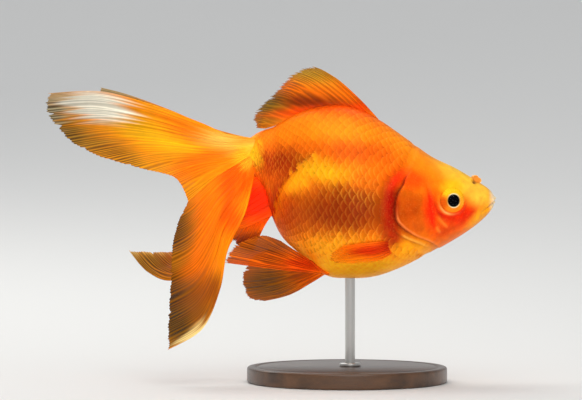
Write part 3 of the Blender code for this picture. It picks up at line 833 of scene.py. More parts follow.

# %% [markdown]
# A scale is clear. Its rear edge gets a painted highlight and a painted gold reflection, and its root painted
# shade where the next one covers it. Fine lines fan out over it. Below it lie the same markings as in the skin,
# with a metallic gold mirror and painted glints here and there.

# %% Scale finish
scale_look = Finish("scales", roughness=0.36, coat_weight=0.05, coat_roughness=0.10, ior=1.35,
                    specular_ior_level=0.3, specular_tint=(1.0, 0.62, 0.30, 1), subsurface_weight=0.06,
                    subsurface_scale=0.8 * MM, **FLESH)
along, across, chance = scale_look.parts(scale_look.noted("lie", "Color"))
# how much metallic mirror and painted gold sheen a scale has
gold = scale_look.noted("gilding_and_sheen")
fan = scale_look.node("CombineXYZ", {"X": across * 9 + chance * 40, "Y": along * 0.8, "Z": chance * 30})
lines, cloud, glint = scale_look.noise(1.6, 2, fan), scale_look.noise(330, 4), scale_look.noise(1100, 2)
off_middle = (across - 0.5) * 2
# a painted highlight along the free rear edge
edge = scale_look.step(along, 0.78, 0.98) * (1 - off_middle * off_middle * 0.85)
# painted shade at the root, where the next scale covers it
opening = scale_look.step(along, 0.28, 0.95)
value = 0.56 + opening * (0.22 + gold * 0.16) + lines * 0.30 + cloud * 0.50 + chance * 0.10 + edge * 0.10
# painted gold glints
value = value + gold * (glint - 0.62) * 1.1
toned = scale_look.toned(scale_look.noted("tint", "Color"), value)
# a painted gold reflection at the rear edge, stronger on gold scales
mirror = (0.06 + edge * 0.94) * (0.10 + gold * (0.12 + lines * 0.45))
toned_with_painted_sheen = scale_look.blend(mirror, toned, (1.0, 0.46, 0.04, 1))
scale_look.set(base_color=toned_with_painted_sheen, metallic=0.22 + gold * 0.30 + lines * 0.12, roughness=0.34 + lines * 0.2,
               normal=scale_look.bump(lines * 0.8 + cloud * 0.3, 0.03))
for piece in scales:
    finished(piece, scale_look, "skin")

# %% [markdown]
# ## Fins
# A fin is a thin web over bony rays. The rays start side by side at the root and fork on their way out, so
# that the edge is a fringe of fine tips. A sheet could be cut out and the rays laid on it as rods, but web
# and rays are one in a fish. So each fin is one dense sheet between four edge curves, thick along the rays
# and thin between them: a Solidify modifier gives the thickness, weighted point by point.

# %% A sheet of rays
SHEET_MOST = 0.62           # thickest a fin gets, at the foot of its rays
WEB_THICKNESS, RAY_THICKNESS, FOOT_THICKNESS = (0.15, 0.07), (0.40, 0.09), 0.3      # at root and edge
ROOT_TUCK = 0.07            # share of a fin's length that is tucked into the body
FIRST_FORK, SECOND_FORK = 0.30, 0.62
MERGE = 0.004               # points nearer than this become one


def sheet_points(edges, across, along):
    """Points x, z of a sheet carried by its root, first, margin and last edge curves."""
    root, first, margin, last = edges
    across_c, along_c = across[:, None], along[:, None]
    sides = mix(spline(root, across), spline(margin, across), along_c)
    ends = mix(spline(first, along), spline(last, along), across_c)
    return sides + ends - mix(mix(root[0], root[-1], across_c),
                              mix(margin[0], margin[-1], across_c), along_c)


def ray_pattern(across, along, rays):
    """Nearness to a ray, 0 to 1, where each ray forks in two and in two again."""
    phase = across * rays + 0.16 * np.sin(across * 23) + 0.10 * np.sin(across * 57 + along * 2.2)
    spread = 0.25 * ease(FIRST_FORK, FIRST_FORK + 0.22, along)
    finer = 0.125 * ease(SECOND_FORK, SECOND_FORK + 0.2, along)
    away = np.abs(np.abs(np.abs(phase - np.floor(phase) - 0.5) - spread) - finer)
    return bell(away, mix(0.24, 0.055, ease(FIRST_FORK - 0.1, SECOND_FORK + 0.15, along)))


# %% Chance along the margin
def by_chance(rng, across, count, low=0):
    """A value for each of some places across a fin, by chance, with slopes between them."""
    return np.interp(across * count, np.arange(count + 1), rng.uniform(low, 1, count + 1))


def fringe(across, rays, depth, seed):
    """How far the margin is drawn back at each place across: a little between rays, more at a few splits."""
    rng = np.random.default_rng(seed)
    comb = 0.5 - 0.5 * np.cos(2 * math.pi * rays * 4 * across)
    ragged = by_chance(rng, across, rays * 4)
    splits = zip(rng.uniform(0.05, 0.95, 5), rng.uniform(0.4, 1.6, 5))
    return depth * (0.45 * comb + 0.7 * ragged + sum(bell(across - at, 0.006) * much for at, much in splits))


print("rays fork at", FIRST_FORK, "and", SECOND_FORK, "of a fin's length")


# %% One sheet
def sheet(root, first, margin, last, depth, rays, cells, colours, clear, dark=(0.05, 0.20, 0.60), shaded=(),
          soft_edge=0, frill=0.03, pleat=0.10, seed=1, tuck=ROOT_TUCK):
    """One sheet of rays. first and last lead from the root's ends to the margin's. depth tells y from (across,
    along, x, z); colours are its base and patches; clear and dark tell how see-through it is, and how dark
    between its rays, at the root, the middle and the edge; shaded are patches with dark webs; soft_edge
    clears the last edge."""
    first, last = [root[0], *first], [root[-1], *last]
    edges = root, first, [first[-1], *margin, last[-1]], last
    deselect()
    bpy.ops.mesh.primitive_grid_add(x_subdivisions=cells[0], y_subdivisions=cells[1], size=1)
    fin = newest("sheet")
    across, along = np.clip(points_of(fin)[:, :2].T + 0.5, 0, 1)
    out = along * (1 + tuck) - tuck
    ray = ray_pattern(across, np.maximum(out, 0), rays)
    inner = 1 - ease(0.985, 1, np.abs(2 * across - 1))          # the outer rays keep their length
    drawn = out - inner * fringe(across, rays, frill, seed) * np.maximum(out, 0) ** 6
    held = np.maximum(drawn, 0)
    step = 0.03
    foot, next_foot = (sheet_points(edges, across, held * 0 + at) for at in (0, step))
    flat = sheet_points(edges, across, held) + np.minimum(drawn, 0)[:, None] * (next_foot - foot) / step
    x, z = flat.T
    wave = np.sin(math.pi * across * rays) * 0.4 * inner
    wave += by_chance(np.random.default_rng(seed + 50), across, rays // 2, -1) * inner
    pleats = pleat * wave * np.sin(held * math.pi * 0.8) * np.ptp(flat, axis=0).max() / 20
    shape(fin, np.column_stack([x, depth(across, held, x, z) + pleats, z]))

    thick = mix(*WEB_THICKNESS, held) + mix(*RAY_THICKNESS, ease(0, 0.9, held)) * ray
    thick += FOOT_THICKNESS * (1 - ease(-0.02, 0.12, drawn))
    group = fin.vertex_groups.new(name="thickness")
    for i, weight in enumerate(np.clip(thick / SHEET_MOST, 0.04, 1).tolist()):
        group.add([i], weight, "REPLACE")
    rng = np.random.default_rng(seed + 90)
    streak = by_chance(rng, across, rays * 4)
    band = np.interp(across * rays / 2, np.arange(rays + 1), rng.uniform(0, 1, rays + 1))     # two rays wide
    ragged = np.clip(held + 0.10 * (streak - 0.5) + 0.08 * (band - 0.5), 0, 1)   # colours end ray by ray
    darkness, see_through = (np.interp(held, (0, 0.5, 1), values) for values in (dark, clear))
    for place in shaded:
        darkness = np.maximum(darkness, patch(x, z, *place))
    see_through = np.maximum(see_through, soft_edge * ease(0.55, 1, across) * ease(0.05, 0.3, held))
    for name, values in (("tint", paint(*sheet_points(edges, across, ragged).T, *colours)), ("ray", ray),
                         ("streak", 0.45 * streak + 0.55 * band), ("dark", darkness), ("clear", see_through)):
        note(fin, name, values)
    return fin


print("a sheet is thickest at its foot:", SHEET_MOST, "mm")


# %% Join sheets and thicken them
def make_fin(name, sheets, *nodes):
    """Joins sheets that share an edge, gives them their thickness and their finish."""
    deselect()
    for fin in sheets:
        fin.select_set(True)
    fin = sheets[0]
    bpy.context.view_layer.objects.active = fin
    if len(sheets) > 1:
        bpy.ops.object.join()
    fin.name = fin.data.name = name
    bpy.ops.object.mode_set(mode="EDIT")
    bpy.ops.mesh.select_all(action="SELECT")
    bpy.ops.mesh.remove_doubles(threshold=MERGE * MM)
    bpy.ops.mesh.normals_make_consistent(inside=False)
    bpy.ops.object.mode_set(mode="OBJECT")
    solid = fin.modifiers.new("thickness", "SOLIDIFY")
    solid.thickness, solid.offset = SHEET_MOST * MM, 0
    solid.vertex_group, solid.thickness_vertex_group = "thickness", 0.0
    bpy.ops.object.modifier_apply(modifier="thickness")
    fin.vertex_groups.clear()
    fin.data.shade_smooth()
    finished(fin, fin_look, "fin", *nodes)


print("a fin has up to 4 ray tips for each ray at its root")

# %% [markdown]
# Light falls through a fin as well as on it, so its finish mixes a wet surface with one that lets light
# through in the fin's own colour. Towards the edge the web turns clear, and the rays stay.

# %% Fin finish
fin_look = Finish("fin web and rays", roughness=0.42, coat_weight=0.06, coat_roughness=0.2, ior=1.33,
                  specular_ior_level=0.2, specular_tint=(1.0, 0.70, 0.40, 1))
tint = fin_look.noted("tint", "Color")
ray, streak, clear, dark = (fin_look.noted(name) for name in ("ray", "streak", "clear", "dark"))
mottle = fin_look.noise(350)
toned = fin_look.toned(tint, 0.67 + streak * 0.56 + mottle * 0.24)
web = fin_look.blend(dark, toned, fin_look.blend(1.0, toned, (0.17, 0.13, 0.09, 1), "MULTIPLY"))
fin_look.set(base_color=fin_look.blend(ray, web, toned), normal=fin_look.bump(mottle + ray * 0.5, 0.04))
pale = fin_look.parts(tint)[2]
glow = (1 - dark * (1 - ray) * 0.9) * (1 - pale) * 0.24
through = fin_look.node("BsdfTranslucent", {"Color": (0.95, 0.30, 0.02, 1)})
lit = fin_look.node("MixShader", {0: glow, 1: Socket(fin_look, fin_look.shader.outputs[0]), 2: through})
seen = fin_look.node("MixShader", {0: clear * (1 - ray * 0.8), 1: lit, 2: fin_look.node("BsdfTransparent")})
fin_look.feed(fin_look.tree.nodes["Material Output"].inputs["Surface"], seen)
print("fin finish ready")

# %% [markdown]
# ### Dorsal fin
# One fin stands on the back, leaning to the rear. Its foot is deep red, and it turns brown and clear at the
# tips of the rays.

# %% Dorsal fin
FIN_ORANGE = (0.98, 0.2, 0.003)
DORSAL_MARKS = [
    (-12, 89.2, 22, 3.4, -4, 0.9, 0.95, (0.24, 0.022, 0.001)),
    (-14, 100, 16, 5, -12, 0.8, 0.85, (0.56, 0.38, 0.02)),
    (-27, 88, 9, 9, -40, 0.8, 0.95, (0.21, 0.14, 0.01)),
    (3, 94, 7, 2, -50, 0.8, 0.8, (1, 0.13, 0.003)),
    (-6, 86.8, 24, 2, 4, 0.9, 0.9, (0.95, 0.05, 0.001)),
]
back_line = spline(STATIONS, np.linspace(0, 1, 400))[::-1]
dorsal_root = [(at, float(np.interp(at, back_line[:, 0], back_line[:, 1])) + 0.3)
               for at in (9.6, 5.5, 1.0, -4.0, -8.6, -12.5, -16.0, -19.5, -23.0, -26.2)]
dorsal = sheet(dorsal_root, [(4.2, 90.4), (-2.2, 96.2), (-7.5, 99.6), (-11.0, 100.9)],
               [(-15.6, 100.0), (-19.5, 97.2), (-22.7, 93.2), (-27.6, 88.8), (-30.3, 84.8)], [(-29.0, 81.3)],
               lambda across, along, x, z: 1.2 * along * np.sin(5.0 * across),
               rays=17, cells=(272, 64), colours=(FIN_ORANGE, DORSAL_MARKS), clear=(0.0, 0.05, 0.42),
               dark=(0.25, 0.60, 0.90), seed=3, frill=0.21)
make_fin("dorsal_fin_rays", [dorsal], "dorsal_fin")

# %% [markdown]
# ### Tail
# A fantail has two tails side by side, each with an upper and a lower lobe. They start from the tail root as
# one and spread to both sides, cupped like hands. Each tail is two sheets that share their edge, so that the
# lobes part only at the fork.

# %% Tail fans
TAIL_ROWS = 104
TAIL_GOLD = (1, 0.36, 0.006)
UPPER_ROOT = [(-31.2, 78.1), (-31.6, 75.0), (-31.7, 71.7)]
LOWER_ROOT = [(-31.7, 71.7), (-30.9, 68.3), (-29.9, 65.0)]


def spreading(side, top, bottom):
    """How a lobe leaves the middle: by different reaches at its upper and lower edge, and cupped."""
    def depth(across, along, x, z):
        cup = 3.0 * np.sin(math.pi * across) * along * (1 - along)
        root = 2.0 + 1.5 * (1 - ease(0, 0.3, along))          # over the flesh between the tails
        return side * (root + mix(top, bottom, across) * along ** 1.25 + cup)
    return depth


print("upper and lower lobe share their root at", UPPER_ROOT[-1])


def make_tail(name, side, reaches, outline, marks, shades, seeds):
    """One tail. Reaches sideways are at its top, fork and bottom. Its outline is the curves top, tip of the
    upper lobe, fork, rear and front of the lower lobe. Marks, shades and seeds are for the upper lobe, then
    the lower."""
    top, tip, fork, rear, front = outline
    lobes = []
    for k, (root, first, margin, last) in enumerate([(UPPER_ROOT, top, tip, fork),
                                                     (LOWER_ROOT, fork, rear, front)]):
        lobes.append(sheet(root, first, margin, last, spreading(side, *reaches[k:k + 2]), rays=15 - k,
                           cells=(240 - 16 * k, TAIL_ROWS), colours=(TAIL_GOLD, marks[k]), shaded=shades[k],
                           clear=(0.0, 0.04, 0.16), seed=seeds[k], frill=0.022))
    make_fin("tail_" + name, lobes, f"tail_{name}_upper", f"tail_{name}_lower")


# %% Right tail
UPPER_MARKS = [
    (-38, 76, 11, 4, -12, 0.8, 0.95, (1, 0.72, 0.12)),
    (-33.5, 72.5, 4, 4.5, 0, 0.8, 0.9, (1, 0.62, 0.02)),
    (-44, 71, 12, 5, 20, 0.8, 0.8, (1, 0.21, 0.003)),
    (-50, 68, 10, 5, 30, 0.8, 0.8, (1, 0.2, 0.003)),
    (-50, 80, 9, 4.5, -25, 0.9, 0.75, (1, 0.19, 0.003)),
    (-70, 70.5, 18, 3.4, -26, 0.8, 0.7, (0.95, 0.44, 0.006)),
    (-62, 79, 14, 5, -20, 0.9, 0.8, (1, 0.58, 0.008)),
    (-76, 75.5, 13, 4, -26, 0.8, 0.8, (0.55, 0.2, 0.008)),
    (-88, 79, 11, 7, -35, 0.8, 0.95, (0.42, 0.23, 0.02)),
    (-77.5, 87.8, 13.5, 5, -16, 0.5, 1, (0.98, 0.95, 0.8)),
    (-93, 87, 7, 8, 0, 0.9, 0.9, (0.5, 0.52, 0.34)),
    # a painted highlight along the upper edge
    (-56, 88, 14, 1.6, -15, 0.8, 0.7, (0.98, 0.58, 0.06)),
]
LOWER_MARKS = [
    (-35, 66, 9, 8, 30, 0.8, 0.9, (1, 0.1, 0.002)),
    (-32.5, 69.5, 2.5, 3, 0, 0.8, 0.8, (1, 0.5, 0.02)),
    (-44, 54, 9, 12, 0, 0.8, 0.8, (1, 0.155, 0.003)),
    (-47, 40, 8, 12, 0, 0.8, 0.8, (1, 0.16, 0.003)),
    (-37, 56, 4, 13, 12, 0.8, 0.8, (1, 0.085, 0.002)),
    (-49, 28, 9, 9.5, 0, 0.8, 0.9, (0.26, 0.055, 0.003)),
    (-55.5, 49, 9, 13, 0, 0.8, 0.95, (0.19, 0.075, 0.005)),
    (-56, 28, 9, 15, 0, 0.8, 0.95, (0.2, 0.075, 0.004)),
    (-54, 18, 8, 9, 0, 0.8, 0.95, (0.13, 0.065, 0.004)),
    (-46, 21, 5, 9, 25, 0.9, 0.8, (0.24, 0.07, 0.004)),
    (-42, 29.5, 4.5, 9, 12, 0.9, 0.75, (0.24, 0.04, 0.002)),
    (-49.6, 14.6, 9.5, 2.6, 43, 0.7, 1, (1, 0.78, 0.3)),
]
make_tail("right", RIGHT, (9, 8, 15), [
    [(-38.5, 79.3), (-46.9, 82.9), (-62.6, 88.7), (-78.3, 92.5), (-94.4, 91.8)],
    [(-95.2, 86.1), (-89.4, 78.3), (-80.6, 72.8), (-65.8, 68.2), (-54.5, 65.1)],
    [(-42.0, 65.2), (-50.4, 57.7)],
    [(-53.8, 50.4), (-55.6, 41.8), (-55.8, 31.5), (-56.5, 20.3)],
    [(-32.5, 54.1), (-38.0, 42.1), (-40.3, 30.0), (-45.7, 17.8), (-56.4, 11.4)],
], (UPPER_MARKS, LOWER_MARKS), (
    [(-74, 71.5, 20, 6.5, -26, 0.9), (-88, 78, 12, 8, -35, 0.9), (-94, 86, 7, 6, 0, 0.7)],
    [(-55.5, 48, 9, 14, 0, 0.8), (-57, 28, 9, 15, 0, 0.8), (-54, 20, 8, 8, 0, 0.8)],
), (7, 9))

# %% Left tail
FAR_UPPER_MARKS = UPPER_MARKS[:7] + [(-78, 94, 14, 5, -14, 0.8, 0.9, (0.62, 0.52, 0.26))]
FAR_MARKS = [
    (-40, 58, 10, 12, 0, 0.8, 0.8, (0.9, 0.1, 0.002)),
    (-55, 40, 10, 8, 0, 0.8, 0.8, (0.75, 0.15, 0.004)),
    (-66, 38, 9, 7, 0, 0.8, 0.95, (0.52, 0.24, 0.014)),
    # a painted highlight along the lobe's top edge
    (-67, 41.2, 10, 1.8, 0, 0.8, 0.9, (1, 0.58, 0.1)),
    (-71, 39, 3, 4, 0, 0.8, 0.6, (0.55, 0.45, 0.16)),
]
make_tail("left", LEFT, (27, 15, 27), [
    [(-43.2, 81.4), (-56.7, 87.3), (-70.9, 92.7), (-81.4, 95.7)],
    [(-81.9, 89.2), (-76.6, 80.3), (-67.6, 74.0), (-57.1, 68.9), (-50.3, 65.7)],
    [(-40.0, 66.65), (-47.7, 60.85)],
    [(-48.4, 51.8), (-51.0, 42.5), (-60.5, 41.0)],
    [(-33.1, 52.5), (-41.3, 39.5), (-55.8, 32.0), (-65.0, 34.3), (-71.9, 41.4)],
], (FAR_UPPER_MARKS, FAR_MARKS), ([], [(-64, 36, 12, 6, 0, 0.7)]), (8, 10))

# %% [markdown]
# ### Fins of the belly
# Behind the vent sits a pair of anal fins, and under the belly a pair of pelvic fins, fanned out to steady
# the fish. The pectoral fins lie folded back along the lower flank.

# %% Anal fins
ANAL_MARKS = [(-29, 58, 11, 10, 0, 0.8, 1, (1, 0.026, 0.002)), (-34, 45, 8, 4, 0, 0.8, 0.8, (0.4, 0.03, 0.001))]
ANAL_ROOT = [(-24.4, 52.9), (-25.8, 58.0), (-27.6, 62.8), (-29.8, 66.4)]
for name, side, first, margin, last, seed in (
        ("right", RIGHT, [(-30.5, 50.1), (-36.8, 47.8)], [(-38.8, 51.0), (-39.6, 54.5)], [(-37.6, 60.0)], 12),
        ("left", LEFT, [(-26.8, 49.0), (-30.2, 41.6)], [(-34.5, 43.0), (-37.8, 48.0)], [(-37.5, 57.0)], 13)):
    fin = sheet(ANAL_ROOT, first, margin, last,
                lambda across, along, x, z: side * (mix(1.5, 0.7, across) + 2.0 * along),
                rays=10, cells=(160, 50), colours=(FIN_ORANGE, ANAL_MARKS), clear=(0.0, 0.03, 0.16),
                dark=(0.05, 0.15, 0.6), seed=seed, pleat=0.04)
    make_fin(f"anal_fin_{name}_rays", [fin], "anal_fin_" + name)

# %% Pelvic fins
PELVIC_MARKS = [
    (-15, 37.8, 10, 4.5, -4, 0.8, 0.95, (0.6, 0.028, 0.001)),
    (-28, 43.5, 12, 4, 0, 0.8, 0.9, (0.34, 0.07, 0.003)),
    (-26, 40.5, 12, 2.2, 6, 0.8, 0.7, (0.64, 0.085, 0.002)),
    (-28, 37.6, 14, 1.5, -4, 0.8, 0.8, (1, 0.12, 0.003)),
]
PELVIC_FAR_MARKS = [
    (-14, 34, 8, 6, 0, 0.8, 0.9, (0.5, 0.06, 0.001)),
    (-26, 31, 12, 9, 0, 0.8, 0.95, (0.17, 0.07, 0.003)),
]
PELVIC_ROOT = [(-6.4, 34.6), (-9.0, 36.5), (-11.6, 38.9)]
FIN_CLEARANCE, PELVIC_BLEND = 0.9, 1.2


def fanned(side, reach):
    """A pelvic fin stands off the middle, and off the flank where that is wider."""
    def depth(across, along, x, z):
        free = mix(4.4, 5.0, across) + reach * along + 1.5 * np.sin(math.pi * across) * along
        return side * round_join(free, flank_width(x, z) + FIN_CLEARANCE, PELVIC_BLEND)
    return depth


for name, side, reach, marks, dark, seed, frill, first, margin, last in (
        ("right", RIGHT, 6.0, PELVIC_MARKS, (0.3, 0.85, 0.95), 15, 0.05,
         [(-15.0, 35.4), (-24.9, 36.6), (-38.9, 38.5)], [(-37.3, 42.7), (-32.9, 45.7), (-27.1, 47.2)],
         [(-16.3, 42.0), (-21.3, 45.4)]),
        ("left", LEFT, 8.0, PELVIC_FAR_MARKS, (0.3, 0.7, 0.8), 16, 0.04,
         [(-11.9, 31.1), (-18.5, 27.4), (-26.7, 25.3)],
         [(-31.6, 26.1), (-33.7, 30.0), (-33.7, 34.5), (-30.7, 39.7)], [(-25.1, 42.2)])):
    fin = sheet(PELVIC_ROOT, first, margin, last, fanned(side, reach), rays=10, cells=(160, 80),
                colours=(FIN_ORANGE, marks), clear=(0.0, 0.10, 0.22), dark=dark, seed=seed, pleat=0.06,
                tuck=0.04, frill=frill)
    make_fin(f"pelvic_fin_{name}_rays", [fin], "pelvic_fin_" + name)

# %% Pectoral fins
PECTORAL_MARKS = [
    # dark red at the root, with painted shade under the gill membrane
    (14.5, 44.4, 6, 3.5, 0, 0.8, 1, (0.36, 0.008, 0.001)),
    (7, 42.4, 10, 2.8, 5, 0.9, 0.95, (0.66, 0.02, 0.001)),
    (0, 39.4, 8, 2, 5, 0.9, 0.8, (0.98, 0.24, 0.004)),
    (-4, 41, 5, 3, 5, 0.8, 0.8, (0.98, 0.26, 0.004)),
]
for name, side in SIDES:
    fin = sheet([(14.5, 45.7), (14.2, 44.0), (14.5, 42.2)], [(6.9, 45.0), (-1.0, 43.8), (-5.3, 41.4)],
                [(-6.1, 39.8)], [(10.4, 39.5), (3.6, 38.3), (-4.3, 38.6)],
                lambda across, along, x, z: side * (
                    flank_width(x, z) - 1.3 + 1.9 * ease(0.0, 0.22, along) + 1.0 * along),   # off the flank
                rays=9, cells=(144, 70), colours=(FIN_ORANGE, PECTORAL_MARKS), clear=(0.0, 0.10, 1.3),
                dark=(0.1, 0.2, 0.2), soft_edge=1.3, seed=18, pleat=0.02, frill=0.10)
    make_fin(f"pectoral_fin_{name}_rays", [fin], "pectoral_fin_" + name)

# %% [markdown]
# ## Eyes
# An eye is a lens-shaped ball under a clear bulge. The pupil is black, a thin cream ring runs round it, and
# the rest of the iris is yellow above and orange below. The ball could be painted flat, but the ring lies
# deeper than the rim, so the ball is dished, and a clear dome closes over it.

# %% Eyeballs
EYE_TURN = math.radians(18)      # turned forward with the narrowing head
BALL_DEPTH = 2.35
PUPIL, RING = 2.02, 2.26
PUPIL_SUNK, RING_SUNK = 0.35, 0.30
DOME_RADIUS, DOME_DEPTH, DOME_SUNK = 3.1, 0.85, 0.30
IRIS_GOLD, PUPIL_BLACK, SOCKET_SHADE_RED = (0.97, 0.36, 0.015), (0.002, 0.002, 0.003), (0.30, 0.03, 0.002)
IRIS_MARKS = [
    (0, 3.2, 7, 2.6, 0, 0.7, 1, (1, 0.54, 0.012)),
    (0, -3.4, 6, 2, 0, 0.7, 0.9, (0.94, 0.22, 0.01)),
    # painted shade on the rear of the iris
    (-3.3, -0.6, 1.5, 2.8, 10, 0.7, 0.9, (0.62, 0.07, 0.004)),
    (3.6, -0.3, 0.9, 2, 0, 0.7, 0.8, (0.98, 0.42, 0.03)),
]


def placed_eye(eye, points, side):
    """Turns a shape whose front looks along +Z to look out of one side of the head."""
    ahead, up, out = points.T
    x = ahead * math.cos(EYE_TURN) + out * math.sin(EYE_TURN)
    y = -ahead * math.sin(EYE_TURN) + out * math.cos(EYE_TURN)
    shape(eye, np.column_stack([EYE_X + x, side * (EYE_Y + y), EYE_Z + up]), side == LEFT)


eye_look = Finish("eye", roughness=0.5, coat_weight=0.0, ior=1.33, specular_ior_level=0.0)
eye_look.set(base_color=eye_look.noted("tint", "Color"))
dome_look = Finish("clear dome of the eye", base_color=(0, 0, 0, 1), roughness=0.02, alpha=0.05,
                   coat_weight=0.35, coat_roughness=0.02, ior=1.36)
for name, side in SIDES:
    eye, co = add_ball("eye_" + name, 96, 72)
    away = np.hypot(co[:, 0], co[:, 1]) * EYE_RADIUS
    dish = RING_SUNK * (1 - ease(RING - 0.2, RING + 0.45, away))
    dish += PUPIL_SUNK * (1 - ease(PUPIL - 0.22, PUPIL + 0.02, away))
    lens = co * [EYE_RADIUS, EYE_RADIUS, BALL_DEPTH]
    lens[:, 2] -= ease(0, 0.2, co[:, 2]) * dish
    placed_eye(eye, lens, side)
    angle = np.arctan2(co[:, 1], co[:, 0])
    cream = mix((0.62, 0.30, 0.04), (0.98, 0.88, 0.55), (np.sin(angle) ** 2)[:, None])
    iris = paint(lens[:, 0], lens[:, 1], IRIS_GOLD, IRIS_MARKS)
    iris = lay(iris, cream, 1 - ease(RING - 0.10, RING + 0.16, away))
    iris *= (0.9 + 0.1 * np.sin(angle * 46 + 3 * np.sin(angle * 7)))[:, None]          # fine fibres
    iris = lay(iris, PUPIL_BLACK, 1 - ease(PUPIL - 0.08, PUPIL + 0.08, away))
    # painted shade, dark red, where the ball turns away into its socket
    note(eye, "tint", lay(iris, SOCKET_SHADE_RED, 1 - ease(-0.1, 0.25, co[:, 2])))
    finished(eye, eye_look, "eye", "eye_" + name)

    dome, co = add_ball(f"eye_{name}_dome", 64, 48)
    co[:, 2] *= np.where(co[:, 2] < 0, 0.25, 1)
    cap = co * [DOME_RADIUS, DOME_RADIUS, DOME_DEPTH]
    away = np.hypot(cap[:, 0], cap[:, 1]) / EYE_RADIUS
    cap[:, 2] += BALL_DEPTH * np.sqrt(np.maximum(1 - away ** 2, 0)) - DOME_SUNK
    placed_eye(dome, cap, side)
    finished(dome, dome_look, "eye")

# %% [markdown]
# ## Nose flaps
# In front of each nose opening stands a small petal of skin.

# %% Nose flaps
FLAP_X, FLAP_Y, FLAP_Z = 41.4, 2.6, 64.9
FLAP_HALF_SIZE = [1.6, 0.20, 1.0]
FLAP_LEAN = math.radians(-38)
for name, side in SIDES:
    flap, co = add_ball("nose_flap_" + name, 40, 28)
    upper = np.maximum(co[:, 2], 0)
    along, out, up = (co * FLAP_HALF_SIZE).T
    up = up * (1 - 0.30 * bell(co[:, 0] - 0.1, 0.25) * upper)              # a notch in the rim
    out = out + 0.55 * co[:, 0] ** 2 + 0.35 * upper ** 2
    x = along * math.cos(FLAP_LEAN) - up * math.sin(FLAP_LEAN)
    z = along * math.sin(FLAP_LEAN) + up * math.cos(FLAP_LEAN)
    shape(flap, np.column_stack([FLAP_X + x, side * (FLAP_Y + out), FLAP_Z + z]), side == RIGHT)
    rim = ease(0.75, 1, np.hypot(co[:, 0], upper))
    note(flap, "tint", mix((0.74, 0.26, 0.03), (0.98, 0.60, 0.22), rim[:, None]))
    finished(flap, skin_look, "skin")

# %% [markdown]
# ## The stand
# The fish swims free, so the model needs a stand: a round wooden base and one steel rod. The base is turned
# on a lathe in life. Here a cylinder gets a rounded rim and a shallow groove by bevel and inset.

# %% Base
BASE_RADIUS, BASE_HEIGHT = 32.0, 5.0
GROOVES = [(2.2, 0.0), (0.5, -0.35), (0.5, 0.0), (0.5, 0.35), (24.0, 0.0)]     # steps inwards and up
RIM_RADIUS = 0.8
SHARP = math.radians(40)


def cylinder(name, radius, foot, top, x=0.0, sides=64):
    """A standing cylinder between two heights, in millimetres."""
    bpy.ops.mesh.primitive_cylinder_add(vertices=sides, radius=radius * MM, depth=(top - foot) * MM,
                                        location=(x * MM, 0, (foot + top) / 2 * MM))
    return newest(name)


def bevel(piece, width, segments, angle=30):
    """Rounds the edges that are sharper than an angle."""
    rounded = piece.modifiers.new("rounded", "BEVEL")
    rounded.width, rounded.segments, rounded.limit_method = width * MM, segments, "ANGLE"
    rounded.angle_limit = math.radians(angle)
    bpy.ops.object.modifier_apply(modifier="rounded")


def pick_top(piece):
    """Selects the top face in edit mode."""
    bpy.ops.object.mode_set(mode="EDIT")
    bpy.ops.mesh.select_mode(type="FACE")
    bpy.ops.mesh.select_all(action="DESELECT")
    bpy.ops.object.mode_set(mode="OBJECT")
    for face in piece.data.polygons:
        face.select = face.normal.z > 0.9
    bpy.ops.object.mode_set(mode="EDIT")


deselect()
base = cylinder("stand_base_turned", BASE_RADIUS, 0, BASE_HEIGHT, sides=160)
bpy.ops.object.transform_apply(location=True, rotation=True, scale=True)
pick_top(base)
for step, rise in GROOVES:
    bpy.ops.mesh.inset(thickness=step * MM, depth=rise * MM)
bpy.ops.object.mode_set(mode="OBJECT")
bevel(base, RIM_RADIUS, 5, 60)
bpy.ops.object.shade_smooth_by_angle(angle=SHARP)

wood_look = Finish("dark stained wood", roughness=0.34, coat_weight=0.4, coat_roughness=0.18)
grain = wood_look.noise(1.0, 5, wood_look.place((14.0, 260.0, 200.0)))
pores = wood_look.noise(9.0, 2, wood_look.place((14.0, 900.0, 500.0)))
stain = wood_look.node("ValToRGB", {"Fac": grain * 0.8 + pores * 0.2},
                       stops=[(0.30, (0.016, 0.008, 0.004)), (0.75, (0.12, 0.052, 0.020))])
wood_look.set(base_color=stain, roughness=0.28 + pores * 0.2, normal=wood_look.bump(grain * 0.4 + pores, 0.04))
finished(base, wood_look, "base_wood", "stand_base")

# %% [markdown]
# The rod is brushed steel, with a low collar where it enters the base, and it goes a little way into the
# belly, so no gap shows.

# %% Rod
ROD_RADIUS, ROD_X, ROD_TOP = 1.6, 1.0, 34.6
COLLAR_RADIUS, COLLAR_TOP, COLLAR_ROUND = 3.4, 6.1, 0.35
ROD_IN_BASE, COLLAR_IN_BASE = 0.4, 0.1
deselect()
rod = cylinder("stand_rod_brushed", ROD_RADIUS, BASE_HEIGHT - ROD_IN_BASE, ROD_TOP, ROD_X)
collar = cylinder("collar", COLLAR_RADIUS, BASE_HEIGHT - COLLAR_IN_BASE, COLLAR_TOP, ROD_X)
bevel(collar, COLLAR_ROUND, 4)
rod.select_set(True)
bpy.context.view_layer.objects.active = rod
bpy.ops.object.join()
bpy.ops.object.transform_apply(location=True, rotation=True, scale=True)
bpy.ops.object.shade_smooth_by_angle(angle=SHARP)
steel_look = Finish("brushed steel", metallic=1.0, roughness=0.3, base_color=(0.62, 0.61, 0.59, 1))
brushing = steel_look.noise(1.0, 3, steel_look.place((60.0, 60.0, 9000.0)))
steel_look.set(roughness=0.20 + brushing * 0.22, normal=steel_look.bump(brushing, 0.006))
finished(rod, steel_look, "rod_steel", "stand_rod")

# %% [markdown]
# ## Floor, lights and camera
# The object stands in a pale round sweep, a floor that curves up into a wall all round, so that no edge shows
# from any side. Soft lamps stand above and in front, one lights the belly from below, one behind the tail
# shows how light falls through the fins, and one lights the wall behind.

